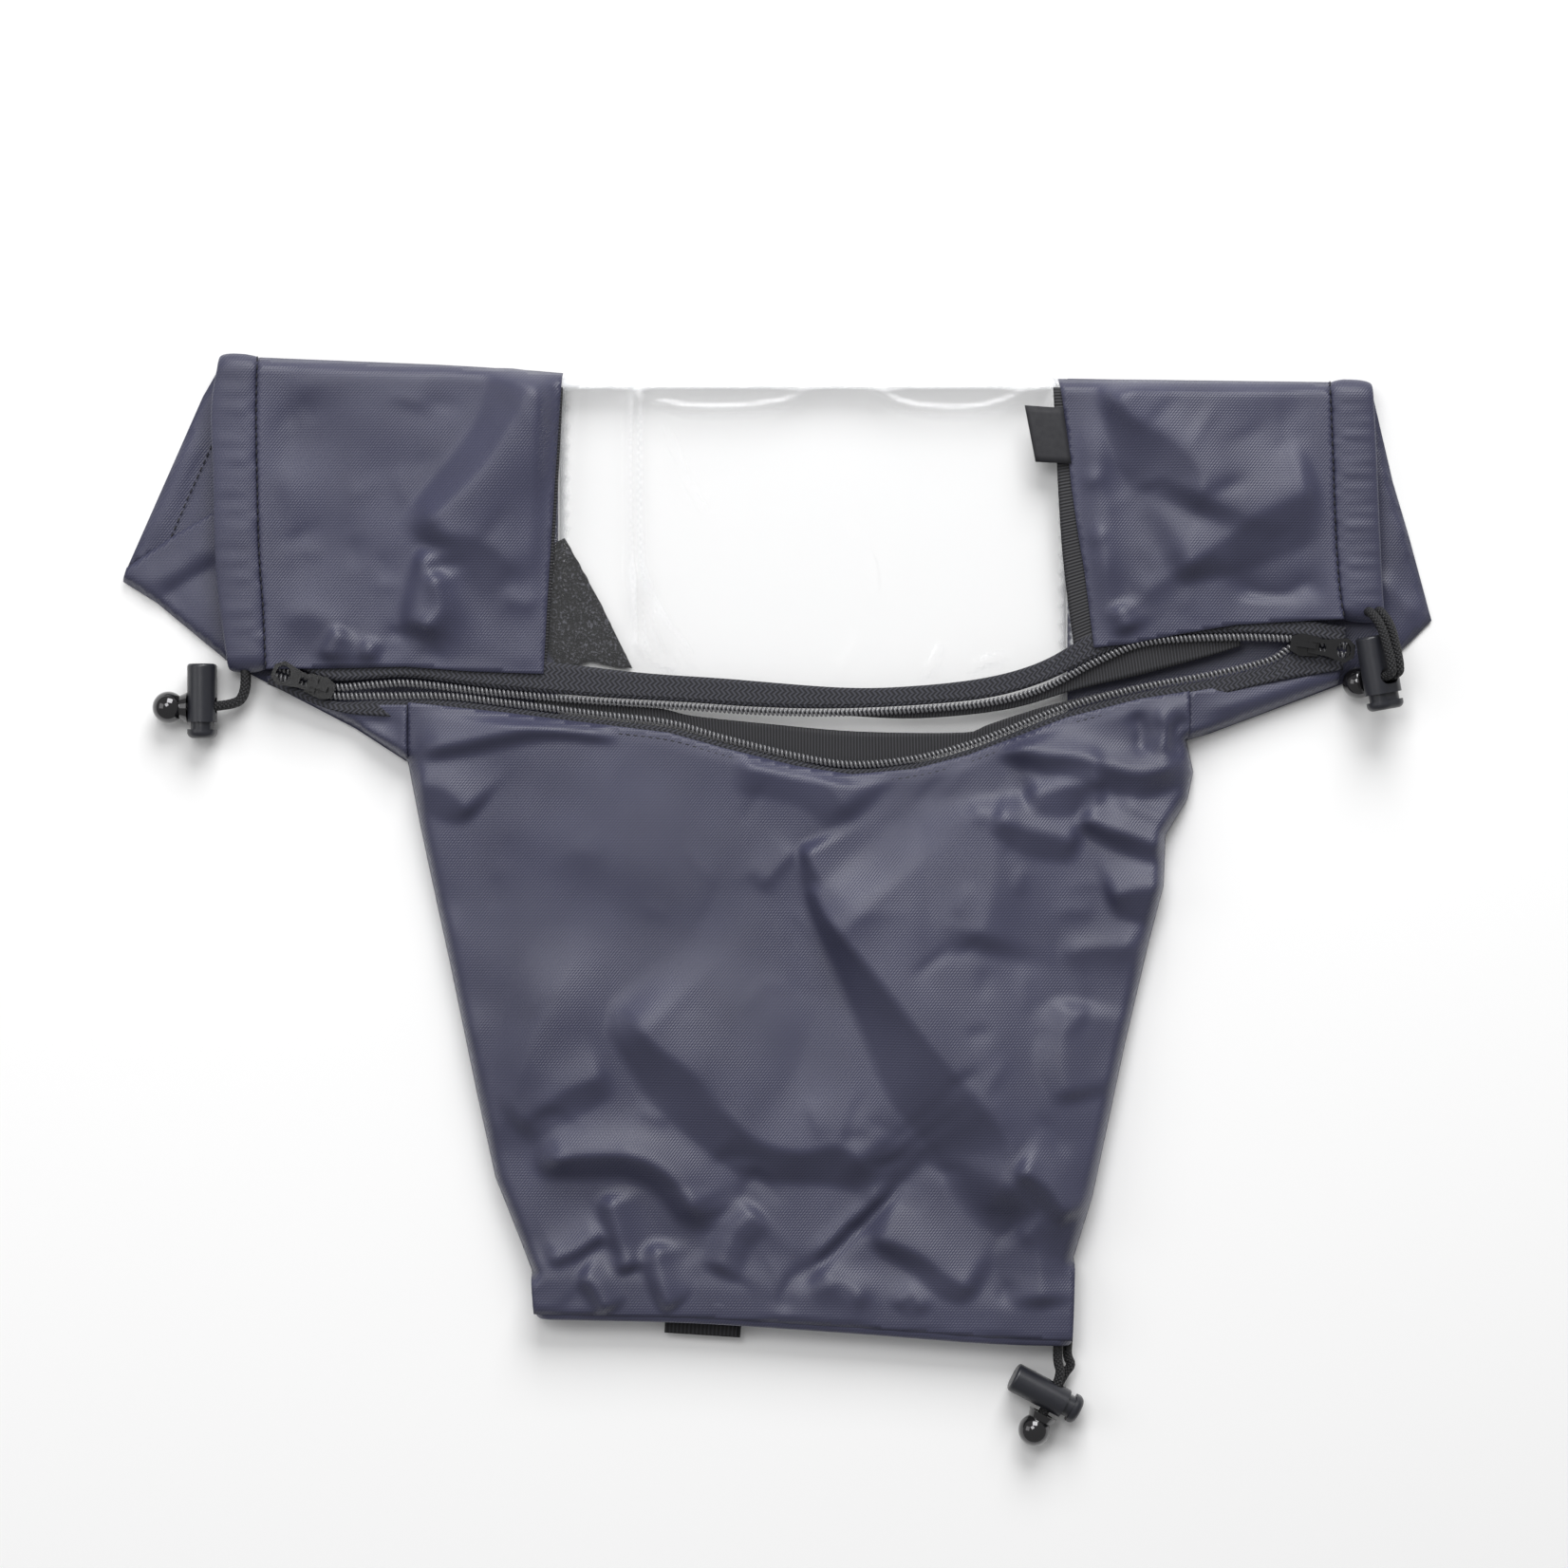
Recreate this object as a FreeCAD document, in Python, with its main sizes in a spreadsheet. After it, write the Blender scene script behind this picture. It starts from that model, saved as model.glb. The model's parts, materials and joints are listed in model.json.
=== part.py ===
"""Camera rain cover lying flat: clear window, two hand sleeves, lens sleeve, zipper, cord locks.

Millimetres. +X to the wearer's right, +Y towards the folded top edge of the window, +Z up from
the surface that the cover lies on. The origin is on that surface, under the middle of the fabric.
"""
import FreeCAD
import Part
import Sketcher
import math
import os
from FreeCAD import Placement, Rotation, Vector

SIZES = {
    # sheet goods
    "fabric": 0.8,
    "clear_sheet": 0.5,
    "ribbon": 0.6,
    "webbing": 2.0,
    # levels above the surface
    "floor_gap": 1.0,
    "panel_rise": 12.0,
    "shoulder_rise": 7.0,
    "window_level": 11.3,
    "ribbon_level": 8.6,
    "seam_level": 10.4,
    "tape_level": 10.3,
    "zip_level": 10.7,
    "patch_level": 0.9,
    "hem_tab_level": 3.8,
    "label_level": 12.4,
    # hems with the drawcord channel inside
    "hem_rise": 14.0,
    "hem_wall": 4.8,
    "cuff_hem_width": 14.6,
    "lens_hem_width": 12.0,
    "cuff_left_span": 128.8,
    "cuff_right_span": 98.3,
    "lens_span": 218.8,
    "hem_end_block": 16.0,
    "channel_bore": 3.9,
    # drawcord
    "cord_diameter": 3.8,
    # zipper
    "coil_diameter": 2.4,
    "coil_pitch": 3.8,
    "slider_rear": 5.2,
    "slider_front": 6.3,
    "slider_width_rear": 7.8,
    "slider_width_front": 9.2,
    "slider_height": 5.0,
    "slider_channel": 2.8,
    "slider_lip": 0.7,
    "slider_lip_inner": 3.35,
    "slider_post_width": 0.9,
    "bridge_width": 2.2,
    "bridge_reach": 3.6,
    "bridge_rise": 3.2,
    "bridge_leg": 1.0,
    "pin_diameter": 1.3,
    "pin_rise": 1.2,
    "pin_offset": 1.6,
    "tab_thickness": 1.3,
    "tab_length": 18.0,
    "tab_width_narrow": 6.0,
    "tab_width_wide": 10.2,
    "tab_window_width": 3.0,
    "tab_window_reach": 6.4,
    "tab_hole_x": 13.6,
    "tab_hole_length": 6.0,
    "tab_hole_width": 6.8,
    # cord lock
    "barrel_length": 23.5,
    "barrel_width": 16.0,
    "barrel_depth": 11.5,
    "barrel_wall": 1.3,
    "barrel_floor": 1.5,
    "barrel_round": 1.2,
    "hole_height": 6.5,
    "hole_width": 9.2,
    "hole_centre": 16.75,
    "cord_centre": 17.6,
    "plunger_clearance": 0.1,
    "plunger_foot": 4.6,
    "plunger_neck": 26.5,
    "plunger_top": 30.0,
    "plunger_dome": 2.4,
    "plunger_hole_low": 15.55,
    "plunger_hole_height": 7.0,
    "spring_wire": 0.6,
    "spring_diameter": 4.4,
    "spring_pocket": 5.6,
    "spring_pocket_depth": 5.4,
    "spring_turns": 5.0,
    # ball end
    "ball_diameter": 13.0,
    "ball_wall": 1.2,
    "ball_mouth": 9.2,
    "collar_flare": 12.4,
    "collar_waist": 9.8,
    "collar_length": 2.85,
    "collar_neck": 9.0,
    "collar_neck_length": 1.6,
    "collar_bore": 8.4,
    "knot_diameter": 8.4,
}

# Outlines on the surface plane, each as the corners of one panel.
OUTLINES = {
    "sleeve_left_back": [(-88.6, 36.0), (-88.6, 193.3), (-223.5, 201.3), (-232.7, 184.0), (-263.1, 115.2),
                         (-265.0, 109.0), (-251.5, 100.6), (-221.2, 75.6), (-170.8, 49.4), (-150.0, 36.0)],
    "sleeve_right_back": [(117.2, 36.0), (165.8, 36.0), (165.8, 44.4), (232.7, 69.0), (248.1, 77.1),
                          (256.2, 84.4), (265.0, 93.3), (255.8, 127.5), (249.2, 149.8), (240.0, 190.4),
                          (117.2, 191.7)],
    "window_back": [(-88.4, 36.0), (117.0, 36.0), (117.0, 191.5), (-88.4, 191.5)],
    "lens_sleeve_back": [(-149.6, 35.8), (-139.6, -13.3), (-121.9, -97.1), (-99.5, -170.0), (-97.5, -186.6),
                         (118.5, -201.0), (120.0, -164.8), (140.8, -78.3), (156.5, -14.0), (157.3, 6.3),
                         (167.5, 25.0), (166.0, 35.8)],
    "sleeve_left_front": [(-205.8, 73.0), (-136.0, 76.5), (-94.4, 72.4), (-88.8, 193.3), (-212.6, 200.4)],
    "sleeve_right_front": [(128.3, 82.2), (175.0, 90.0), (198.5, 92.3), (229.6, 93.2), (225.0, 190.4),
                           (115.4, 191.5), (120.9, 145.2)],
    "lens_sleeve_front": [(-148.8, 36.0), (-139.0, -13.3), (-121.3, -97.1), (-98.9, -170.0), (-97.0, -174.4),
                          (118.6, -188.8), (119.6, -164.8), (140.4, -78.3), (156.1, -14.0), (156.9, 6.3),
                          (167.0, 25.0), (165.4, 44.6), (165.4, 67.0), (145.8, 63.0), (116.2, 55.3),
                          (91.5, 45.6), (76.9, 40.3), (55.0, 34.6), (30.0, 32.2), (7.7, 35.8), (-21.5, 43.0),
                          (-43.8, 49.1),
                          (-73.1, 52.6), (-110.0, 57.3), (-148.8, 60.0)],
    "shoulder_left": [(-205.4, 67.8), (-170.4, 49.9), (-149.4, 36.4), (-149.4, 60.0), (-176.0, 58.0),
                      (-203.4, 71.2)],
    "shoulder_right": [(166.0, 45.2), (226.4, 67.3), (227.0, 76.0), (198.5, 70.5), (166.0, 64.5)],
    "window_front": [(-86.3, 191.4), (-93.6, 71.9), (-55.4, 68.0), (-21.5, 66.3), (25.4, 61.6), (55.0, 61.8),
                     (106.5, 71.2), (120.4, 77.4), (116.9, 124.0), (111.9, 191.4)],
    "window_binding_left": [(-91.2, 190.0), (-98.0, 79.0), (-94.4, 79.0), (-87.6, 190.0)],
    "window_binding_right": [(108.7, 189.5), (113.6, 124.0), (118.0, 86.5), (127.4, 91.5), (121.8, 145.2),
                             (116.5, 189.5)],
    "label_tag": [(100.0, 179.4), (104.2, 156.7), (118.4, 156.0), (114.9, 178.6)],
    "loop_patch": [(-85.8, 126.7), (-108.0, 115.0), (-82.0, 63.0), (-58.5, 73.7)],
    "hem_tab": [(-45.4, -190.4), (-14.6, -192.5), (-15.0, -196.4), (-45.6, -194.3)],
}

# Edges of the narrow woven strips, left to right, as the points of a smooth curve.
STRIPS = {
    "zipper_tape_upper": {
        "top": [(-203.0, 79.5), (-161.9, 80.5), (-136.2, 80.6), (-94.2, 76.5), (-55.4, 72.0), (-21.5, 69.6),
                (25.4, 66.0), (55.0, 66.6), (84.2, 70.0), (106.5, 76.5), (128.1, 88.5), (145.8, 95.0),
                (186.9, 97.0), (229.0, 90.4)],
        "bottom": [(-202.6, 77.2), (-190.0, 72.8), (-178.7, 68.8), (-161.9, 69.6), (-146.9, 70.0),
                   (-113.1, 65.6), (-74.6, 62.3), (-36.5, 60.0), (-6.9, 58.1), (22.7, 57.5), (55.0, 58.8),
                   (84.2, 61.7), (106.5, 67.8), (128.1, 78.0), (145.8, 85.3), (163.5, 87.4),
                   (186.9, 88.0), (207.7, 87.2), (229.0, 84.1)],
    },
    "zipper_tape_lower": {
        "top": [(-204.3, 70.0), (-179.9, 60.7), (-160.0, 60.8), (-133.5, 60.7), (-110.0, 58.0), (-73.1, 53.4),
                (-43.8, 49.8), (-21.5, 43.6), (7.7, 36.4), (30.0, 33.1), (55.0, 35.3), (76.9, 41.0),
                (91.5, 46.4), (116.2, 56.1), (145.8, 63.9), (175.0, 69.3), (198.5, 75.0), (207.2, 79.9),
                (217.5, 78.8), (228.4, 76.8)],
        "bottom": [(-205.6, 67.4), (-179.9, 57.0), (-160.0, 54.5), (-133.5, 53.5), (-110.0, 50.5),
                   (-73.1, 46.0), (-43.8, 42.0), (-21.5, 36.0), (7.7, 29.0), (30.0, 26.0), (55.0, 28.0),
                   (91.5, 39.0), (116.2, 48.5), (145.8, 56.5), (175.0, 62.5), (198.5, 68.0), (228.0, 73.2)],
    },
    "zipper_binding_upper": {
        "top": [(22.0, 56.2), (55.0, 57.4), (84.2, 59.9), (106.5, 65.4), (128.1, 76.2), (145.8, 83.4),
                (163.5, 85.6), (186.9, 86.2)],
        "bottom": [(22.0, 54.9), (56.5, 53.6), (92.7, 57.2), (120.8, 65.2), (145.8, 71.0), (175.0, 79.0),
                   (186.9, 82.9)],
    },
    "zipper_binding_lower": {
        "top": [(-60.0, 54.6), (-36.9, 55.4), (-3.8, 51.4), (32.7, 48.3), (75.4, 47.9), (84.2, 50.8),
                (106.5, 58.0), (131.2, 64.0), (150.0, 68.0)],
        "bottom": [(-60.0, 52.8), (-43.8, 51.0), (-21.5, 45.0), (7.7, 37.8), (30.0, 34.3), (55.0, 36.6),
                   (76.9, 42.4), (91.5, 47.8), (116.2, 57.4), (150.0, 66.0)],
    },
}

# Centre lines of the two zipper coils between the sliders.
COILS = {
    "zipper_coil_upper": [(-161.9, 67.1), (-146.9, 67.5), (-113.1, 63.8), (-74.6, 60.6), (-36.5, 58.3),
                          (-6.9, 56.4), (22.7, 55.8), (55.0, 57.1), (84.2, 59.7), (106.5, 65.4),
                          (128.1, 76.2), (145.8, 83.4), (163.5, 85.6), (186.9, 86.2)],
    "zipper_coil_lower": [(-160.0, 62.5), (-133.5, 62.4), (-110.0, 59.8), (-73.1, 55.2), (-43.8, 51.6),
                          (-21.5, 45.4), (7.7, 38.2), (30.0, 34.9), (55.0, 37.1), (76.9, 42.8),
                          (91.5, 48.2), (116.2, 57.9), (145.8, 65.7), (175.0, 71.1), (198.5, 76.9)],
}

# Each slider: middle, heading of the closed end of the zipper (degrees), length of closed coil.
SLIDERS = {
    "left": {"middle": (-184.5, 66.3), "heading": 160.0, "closed": 18.0},
    "right": {"middle": (212.9, 83.0), "heading": -8.0, "closed": 16.5},
}

# Each hem ring: middle of its cord end, turn about Z (degrees), span alias, width alias and channel
# route in the ring's own frame: X across the hem, Y along it, Z up. The right cuff's drawcord leaves
# through the upper face of the hem, because its cord lock lies against the end of the hem.
HEMS = {
    "cuff_hem_left": {
        "corner": (-213.4, 71.9), "turn": 3.07, "span": "cuff_left_span", "width": "cuff_hem_width",
        "drawcord": "drawcord_left_channel",
        "upper": [(-1.2, 0.0, 9.975), (-1.2, 6.0, 9.975), (0.0, 15.0, 12.6)],
        "lower": [(-1.2, 0.0, 6.025), (-1.2, 6.0, 6.025), (0.0, 15.0, 3.4)],
    },
    "cuff_hem_right": {
        "corner": (237.3, 91.9), "turn": 2.67, "span": "cuff_right_span", "width": "cuff_hem_width",
        "drawcord": "drawcord_right_channel",
        "upper": [(0.8, 4.5, 15.0), (0.8, 4.5, 9.5), (0.4, 10.0, 10.0), (0.0, 16.0, 12.6)],
        "lower": [(5.0, 4.5, 15.0), (5.0, 4.5, 7.0), (2.5, 10.0, 4.5), (0.0, 16.0, 3.4)],
    },
    "lens_hem": {
        "corner": (120.4, -195.3), "turn": 86.2, "span": "lens_span", "width": "lens_hem_width",
        "drawcord": "drawcord_lens_channel",
        "upper": [(-6.0, 6.9, 9.4), (0.0, 6.9, 9.4), (0.0, 16.0, 12.6)],
        "lower": [(-6.0, 2.8, 6.0), (0.0, 2.8, 6.0), (0.0, 12.0, 3.4)],
    },
}

# Each cord lock: middle of the barrel's closed end, heading of its head in plan (degrees), tilt of
# the cord hole below the horizontal (degrees), and distance from the barrel's axis to the ball.
LOCKS = {
    "left": {"closed_end": (-232.15, 75.6, 8.0), "heading": -90.0, "tilt": 0.0, "ball": 13.6},
    "lens": {"closed_end": (95.2, -212.0, 8.0), "heading": -27.8, "tilt": 0.0, "ball": 15.2},
    "right": {"closed_end": (239.4, 86.6, 18.2), "heading": -80.2, "tilt": 55.0, "ball": 13.6},
}

# Free stretches of drawcord, hem exit first, ending in the knot. Each is one strand.
CORDS = {
    "drawcord_left_upper": [(-214.6, 71.84, 9.975), (-214.17, 63.75, 9.975), (-219.9, 58.0, 9.975),
                            (-242.6, 58.0, 9.975)],
    "drawcord_left_lower": [(-214.6, 71.84, 6.025), (-214.17, 63.75, 6.025), (-219.9, 58.0, 6.025),
                            (-242.6, 58.0, 6.025)],
    "drawcord_lens_upper": [(113.12, -200.83, 9.4), (112.81, -205.5, 9.4), (115.12, -212.0, 9.975),
                            (105.08, -231.0, 9.975)],
    "drawcord_lens_lower": [(117.21, -201.1, 6.0), (117.0, -204.2, 6.0), (119.2, -207.6, 6.0),
                            (115.44, -211.4, 6.025), (105.08, -231.0, 6.025)],
    "drawcord_right_upper": [(237.89, 96.43, 15.0), (237.89, 96.43, 21.0), (241.6, 90.6, 26.0),
                             (243.6, 83.0, 27.4), (245.6, 75.0, 28.6), (245.89, 69.86, 26.7),
                             (234.81, 67.95, 10.65)],
    "drawcord_right_lower": [(242.08, 96.63, 15.0), (242.08, 96.63, 19.5), (245.6, 91.0, 23.4),
                             (247.4, 83.4, 24.8), (249.0, 75.2, 25.9), (249.08, 70.41, 24.44),
                             (238.0, 68.5, 8.38)],
}

HERE = FreeCAD.newDocument("RainCover")
SHEET = HERE.addObject("Spreadsheet::Sheet", "Sizes")
NODES = []


def size(name):
    """A driving dimension, read back from the sheet."""
    return float(SHEET.get(name))


def fill_sheet():
    """Every driving dimension and every outline corner gets a cell with an alias."""
    cells = dict(SIZES)
    for name, corners in OUTLINES.items():
        for number, (x, y) in enumerate(corners, 1):
            cells[name + "_x%d" % number] = x
            cells[name + "_y%d" % number] = y
    for row, (name, value) in enumerate(cells.items(), 1):
        SHEET.set("A%d" % row, name)
        SHEET.set("B%d" % row, str(value))
        SHEET.setAlias("B%d" % row, name)
    HERE.recompute()


def keep(thing, label):
    """Name a finished sub-part and list it for export."""
    thing.Label = label
    NODES.append(thing)
    return thing


# Sketch helpers ------------------------------------------------------------------------------


def new_body(name):
    return HERE.addObject("PartDesign::Body", "body_" + name)


def sketch_on(body, role, name, level=None):
    """A sketch on one of the body's own origin planes, lifted to a level from the sheet."""
    sketch = body.newObject("Sketcher::SketchObject", name)
    plane = [feature for feature in body.Origin.OriginFeatures if feature.Role == role][0]
    sketch.AttachmentSupport = (plane, [""])
    sketch.MapMode = "FlatFace"
    if level:
        sketch.setExpression("AttachmentOffset.Base.z", level)
    return sketch


def bind(sketch, kind, geometry, point, value, expression):
    """Fix one coordinate or radius of a sketch point and tie it to the sheet."""
    if kind == "Radius":
        number = sketch.addConstraint(Sketcher.Constraint("Radius", geometry, value))
    else:
        number = sketch.addConstraint(Sketcher.Constraint(kind, -1, 1, geometry, point, value))
    sketch.setExpression("Constraints[%d]" % number, expression)


def polygon(sketch, corners):
    """Closed straight-sided outline; every corner is a pair of expressions."""
    points = [Vector(sketch.evalExpression(x), sketch.evalExpression(y), 0) for x, y in corners]
    sides = [
        sketch.addGeometry(Part.LineSegment(start, points[(index + 1) % len(points)]))
        for index, start in enumerate(points)
    ]
    for index, side in enumerate(sides):
        following = sides[(index + 1) % len(sides)]
        sketch.addConstraint(Sketcher.Constraint("Coincident", side, 2, following, 1))
    for side, point, (x, y) in zip(sides, points, corners):
        bind(sketch, "DistanceX", side, 1, point.x, x)
        bind(sketch, "DistanceY", side, 1, point.y, y)


def rectangle(sketch, low_x, low_y, high_x, high_y):
    polygon(sketch, [(low_x, low_y), (high_x, low_y), (high_x, high_y), (low_x, high_y)])


def slot(sketch, length, height, middle="0"):
    """Round-ended slot with its length along the sketch's X."""
    long_way = sketch.evalExpression(length)
    short_way = sketch.evalExpression(height)
    centre = sketch.evalExpression(middle)
    radius = short_way / 2
    reach = long_way / 2 - radius
    right = Part.ArcOfCircle(
        Part.Circle(Vector(reach, centre, 0), Vector(0, 0, 1), radius), -math.pi / 2, math.pi / 2
    )
    left = Part.ArcOfCircle(
        Part.Circle(Vector(-reach, centre, 0), Vector(0, 0, 1), radius), math.pi / 2, 3 * math.pi / 2
    )
    top = Part.LineSegment(Vector(reach, centre + radius, 0), Vector(-reach, centre + radius, 0))
    bottom = Part.LineSegment(Vector(-reach, centre - radius, 0), Vector(reach, centre - radius, 0))
    first, second, third, fourth = [sketch.addGeometry(piece) for piece in (right, top, left, bottom)]
    for one, two in ((first, second), (second, third), (third, fourth), (fourth, first)):
        sketch.addConstraint(Sketcher.Constraint("Tangent", one, 2, two, 1))
    bind(sketch, "Radius", first, 0, radius, "(%s) / 2" % height)
    bind(sketch, "Radius", third, 0, radius, "(%s) / 2" % height)
    for arc, sign, value in ((first, "", reach), (third, "-", -reach)):
        bind(sketch, "DistanceX", arc, 3, value, "%s((%s) - (%s)) / 2" % (sign, length, height))
    if centre:
        bind(sketch, "DistanceY", first, 3, centre, middle)
    else:
        sketch.addConstraint(Sketcher.Constraint("PointOnObject", first, 3, -1))


def circle(sketch, diameter):
    radius = sketch.evalExpression(diameter) / 2
    ring = sketch.addGeometry(Part.Circle(Vector(0, 0, 0), Vector(0, 0, 1), radius))
    sketch.addConstraint(Sketcher.Constraint("Coincident", ring, 3, -1, 1))
    bind(sketch, "Radius", ring, 0, radius, "(%s) / 2" % diameter)


def pad(body, sketch, length):
    feature = body.newObject("PartDesign::Pad", "pad_" + sketch.Name)
    feature.Profile = sketch
    feature.setExpression("Length", length)
    HERE.recompute()
    return feature


def pocket(body, sketch, length, both_ways=False):
    """Cut along the sketch's normal into the solid and check that material has gone."""
    before = body.Shape.Volume
    feature = body.newObject("PartDesign::Pocket", "cut_" + sketch.Name)
    feature.Profile = sketch
    feature.Midplane = both_ways
    feature.setExpression("Length", length)
    HERE.recompute()
    if feature.Shape.Volume > before - 0.01:
        raise RuntimeError("%s cut nothing" % feature.Name)
    return feature


# Flat panels -----------------------------------------------------------------------------------


def corner_cells(name):
    return [
        ("Sizes.%s_x%d" % (name, number), "Sizes.%s_y%d" % (name, number))
        for number in range(1, len(OUTLINES[name]) + 1)
    ]


def plate(name, level, thickness):
    """One flat sheet of constant thickness."""
    body = new_body(name)
    sketch = sketch_on(body, "XY_Plane", "outline_" + name, level)
    polygon(sketch, corner_cells(name))
    pad(body, sketch, thickness)
    return keep(body, name)


def tray(name, rise, walls):
    """A raised front panel: flat on top, closed along the listed sides, open below and elsewhere."""
    body = new_body(name)
    sketch = sketch_on(body, "XY_Plane", "outline_" + name, "Sizes.floor_gap")
    polygon(sketch, corner_cells(name))
    pad(body, sketch, "Sizes.%s" % rise)
    inside = "Sizes.%s - Sizes.fabric" % rise
    hollow = sketch_on(body, "XY_Plane", "hollow_" + name, "Sizes.floor_gap + %s" % inside)
    polygon(hollow, [("%.3f" % x, "%.3f" % y) for x, y in hollow_corners(OUTLINES[name], walls)])
    pocket(body, hollow, inside)
    return keep(body, name)


def hollow_corners(corners, walls):
    """The outline moved in by the fabric's thickness along its walls and out along its open sides."""
    area = sum(x * far_y - far_x * y for (x, y), (far_x, far_y) in zip(corners, corners[1:] + corners[:1]))
    inward = math.copysign(1, area)
    sides = []
    for side, (x, y) in enumerate(corners):
        far_x, far_y = corners[(side + 1) % len(corners)]
        along = Vector(far_x - x, far_y - y, 0).normalize()
        shift = size("fabric") if side in walls else -size("floor_gap")
        across = Vector(-along.y, along.x, 0) * inward * shift
        sides.append((Vector(x, y, 0) + across, along))
    moved = []
    for (start, along), (before, before_along) in zip(sides, sides[-1:] + sides[:-1]):
        crossing = before_along.x * along.y - before_along.y * along.x
        gap = start - before
        reach = (gap.x * along.y - gap.y * along.x) / crossing
        corner = before + before_along * reach
        moved.append((corner.x, corner.y))
    return moved


def face_at(shape, point):
    """Name of the face nearest to a point."""
    gaps = [face.distToShape(Part.Vertex(point))[0] for face in shape.Faces]
    return "Face%d" % (gaps.index(min(gaps)) + 1)


def make_panels():
    for name in ("sleeve_left_back", "sleeve_right_back", "lens_sleeve_back"):
        plate(name, None, "Sizes.fabric")
    plate("window_back", None, "Sizes.clear_sheet")
    tray("sleeve_left_front", "panel_rise", walls=[3])
    tray("sleeve_right_front", "panel_rise", walls=[4])
    tray("lens_sleeve_front", "panel_rise", walls=[0, 1, 2, 3, 5, 6, 7, 8, 9, 10])
    tray("shoulder_left", "shoulder_rise", walls=[0, 1])
    tray("shoulder_right", "shoulder_rise", walls=[0])
    plate("window_front", "Sizes.window_level", "Sizes.clear_sheet")
    for side in ("left", "right"):
        plate("window_binding_" + side, "Sizes.seam_level", "Sizes.ribbon")
    plate("label_tag", "Sizes.label_level", "Sizes.ribbon")
    plate("loop_patch", "Sizes.patch_level", "Sizes.webbing")
    plate("hem_tab", "Sizes.hem_tab_level", "Sizes.webbing")


# Tubes -----------------------------------------------------------------------------------------


def tube_path(points, label=""):
    """Straight runs joined by tangent arcs; each arc is as large as its two runs allow."""
    route = [Vector(*point) for point in points]
    edges = []
    radii = []
    here = route[0]
    for before, corner, after in zip(route, route[1:], route[2:]):
        way_in = corner - before
        way_out = after - corner
        turn = way_in.getAngle(way_out)
        reach = 0.45 * min(way_in.Length, way_out.Length)
        start = corner - way_in.normalize() * reach
        end = corner + way_out.normalize() * reach
        radius = reach / math.tan(turn / 2)
        radii.append(radius)
        bisector = ((start - corner) + (end - corner)).normalize()
        middle = corner + bisector * (math.hypot(reach, radius) - radius)
        edges.append(Part.LineSegment(here, start).toShape())
        edges.append(Part.Arc(start, middle, end).toShape())
        here = end
    edges.append(Part.LineSegment(here, route[-1]).toShape())
    if label:
        print("%s: arc radii %s" % (label, [round(radius, 1) for radius in radii]))
    return Part.Wire(edges)


def tube_along(path, diameter, label=""):
    """Round tube along a wire; its volume is compared with its section times its length."""
    start = path.Edges[0].valueAt(path.Edges[0].FirstParameter)
    heading = path.Edges[0].tangentAt(path.Edges[0].FirstParameter)
    ring = Part.Wire([Part.makeCircle(diameter / 2, start, heading)])
    tube = path.makePipeShell([ring], True, True)
    expected = math.pi * diameter ** 2 / 4 * path.Length
    if abs(tube.Volume / expected - 1) > 0.01:
        raise RuntimeError("%s has %.0f mm3, not %.0f" % (label, tube.Volume, expected))
    if label:
        print("%s: length %.1f mm" % (label, path.Length))
    return tube


def as_feature(shape, label):
    feature = HERE.addObject("Part::Feature", "feature_" + label)
    feature.Shape = shape
    return keep(feature, label)


# Zipper ----------------------------------------------------------------------------------------


def woven_strip(name, level, thickness):
    """Narrow strip between two smooth edges."""
    edges = []
    for side in ("top", "bottom"):
        curve = Part.BSplineCurve()
        curve.interpolate([Vector(x, y, level) for x, y in STRIPS[name][side]])
        edges.append(curve.toShape())
    top, bottom = edges
    left = Part.LineSegment(top.valueAt(top.FirstParameter), bottom.valueAt(bottom.FirstParameter))
    right = Part.LineSegment(top.valueAt(top.LastParameter), bottom.valueAt(bottom.LastParameter))
    outline = Part.Wire(Part.__sortEdges__([top, right.toShape(), bottom, left.toShape()]))
    as_feature(Part.Face(outline).extrude(Vector(0, 0, thickness)), name)


def slider_frame(side):
    """Placement of a slider: X towards the closed end of the zipper, Z up."""
    middle_x, middle_y = SLIDERS[side]["middle"]
    return Placement(
        Vector(middle_x, middle_y, size("zip_level")), Rotation(Vector(0, 0, 1), SLIDERS[side]["heading"])
    )


def make_coils():
    """Each coil runs through the left slider, along its open edge and through the right slider."""
    half = size("coil_pitch") / 2
    lead = size("slider_front") + 2.5
    for name, sign in (("zipper_coil_upper", 1), ("zipper_coil_lower", -1)):
        left = slider_frame("left")
        right = slider_frame("right")
        ends_left = [(SLIDERS["left"]["closed"], -sign * half, 0), (-lead, -sign * half, 0)]
        ends_right = [(-lead, sign * half, 0), (SLIDERS["right"]["closed"], sign * half, 0)]
        open_edge = [(x, y, size("zip_level")) for x, y in COILS[name]]
        route = [left.multVec(Vector(*point)) for point in ends_left]
        route += open_edge
        route += [right.multVec(Vector(*point)) for point in ends_right]
        as_feature(tube_along(tube_path(route), size("coil_diameter"), name), name)


def make_end_stops():
    """One bar across each closed end of the zipper, against the ends of the coils."""
    bars = []
    width = size("coil_pitch") + size("coil_diameter")
    for side, details in SLIDERS.items():
        bar = Part.makeBox(1.6, width, size("coil_diameter"))
        bar.translate(Vector(details["closed"] + 0.1, -width / 2, -size("coil_diameter") / 2))
        bar.Placement = slider_frame(side).multiply(bar.Placement)
        bars.append(bar)
    as_feature(Part.makeCompound(bars), "zipper_end_stops")


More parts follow.
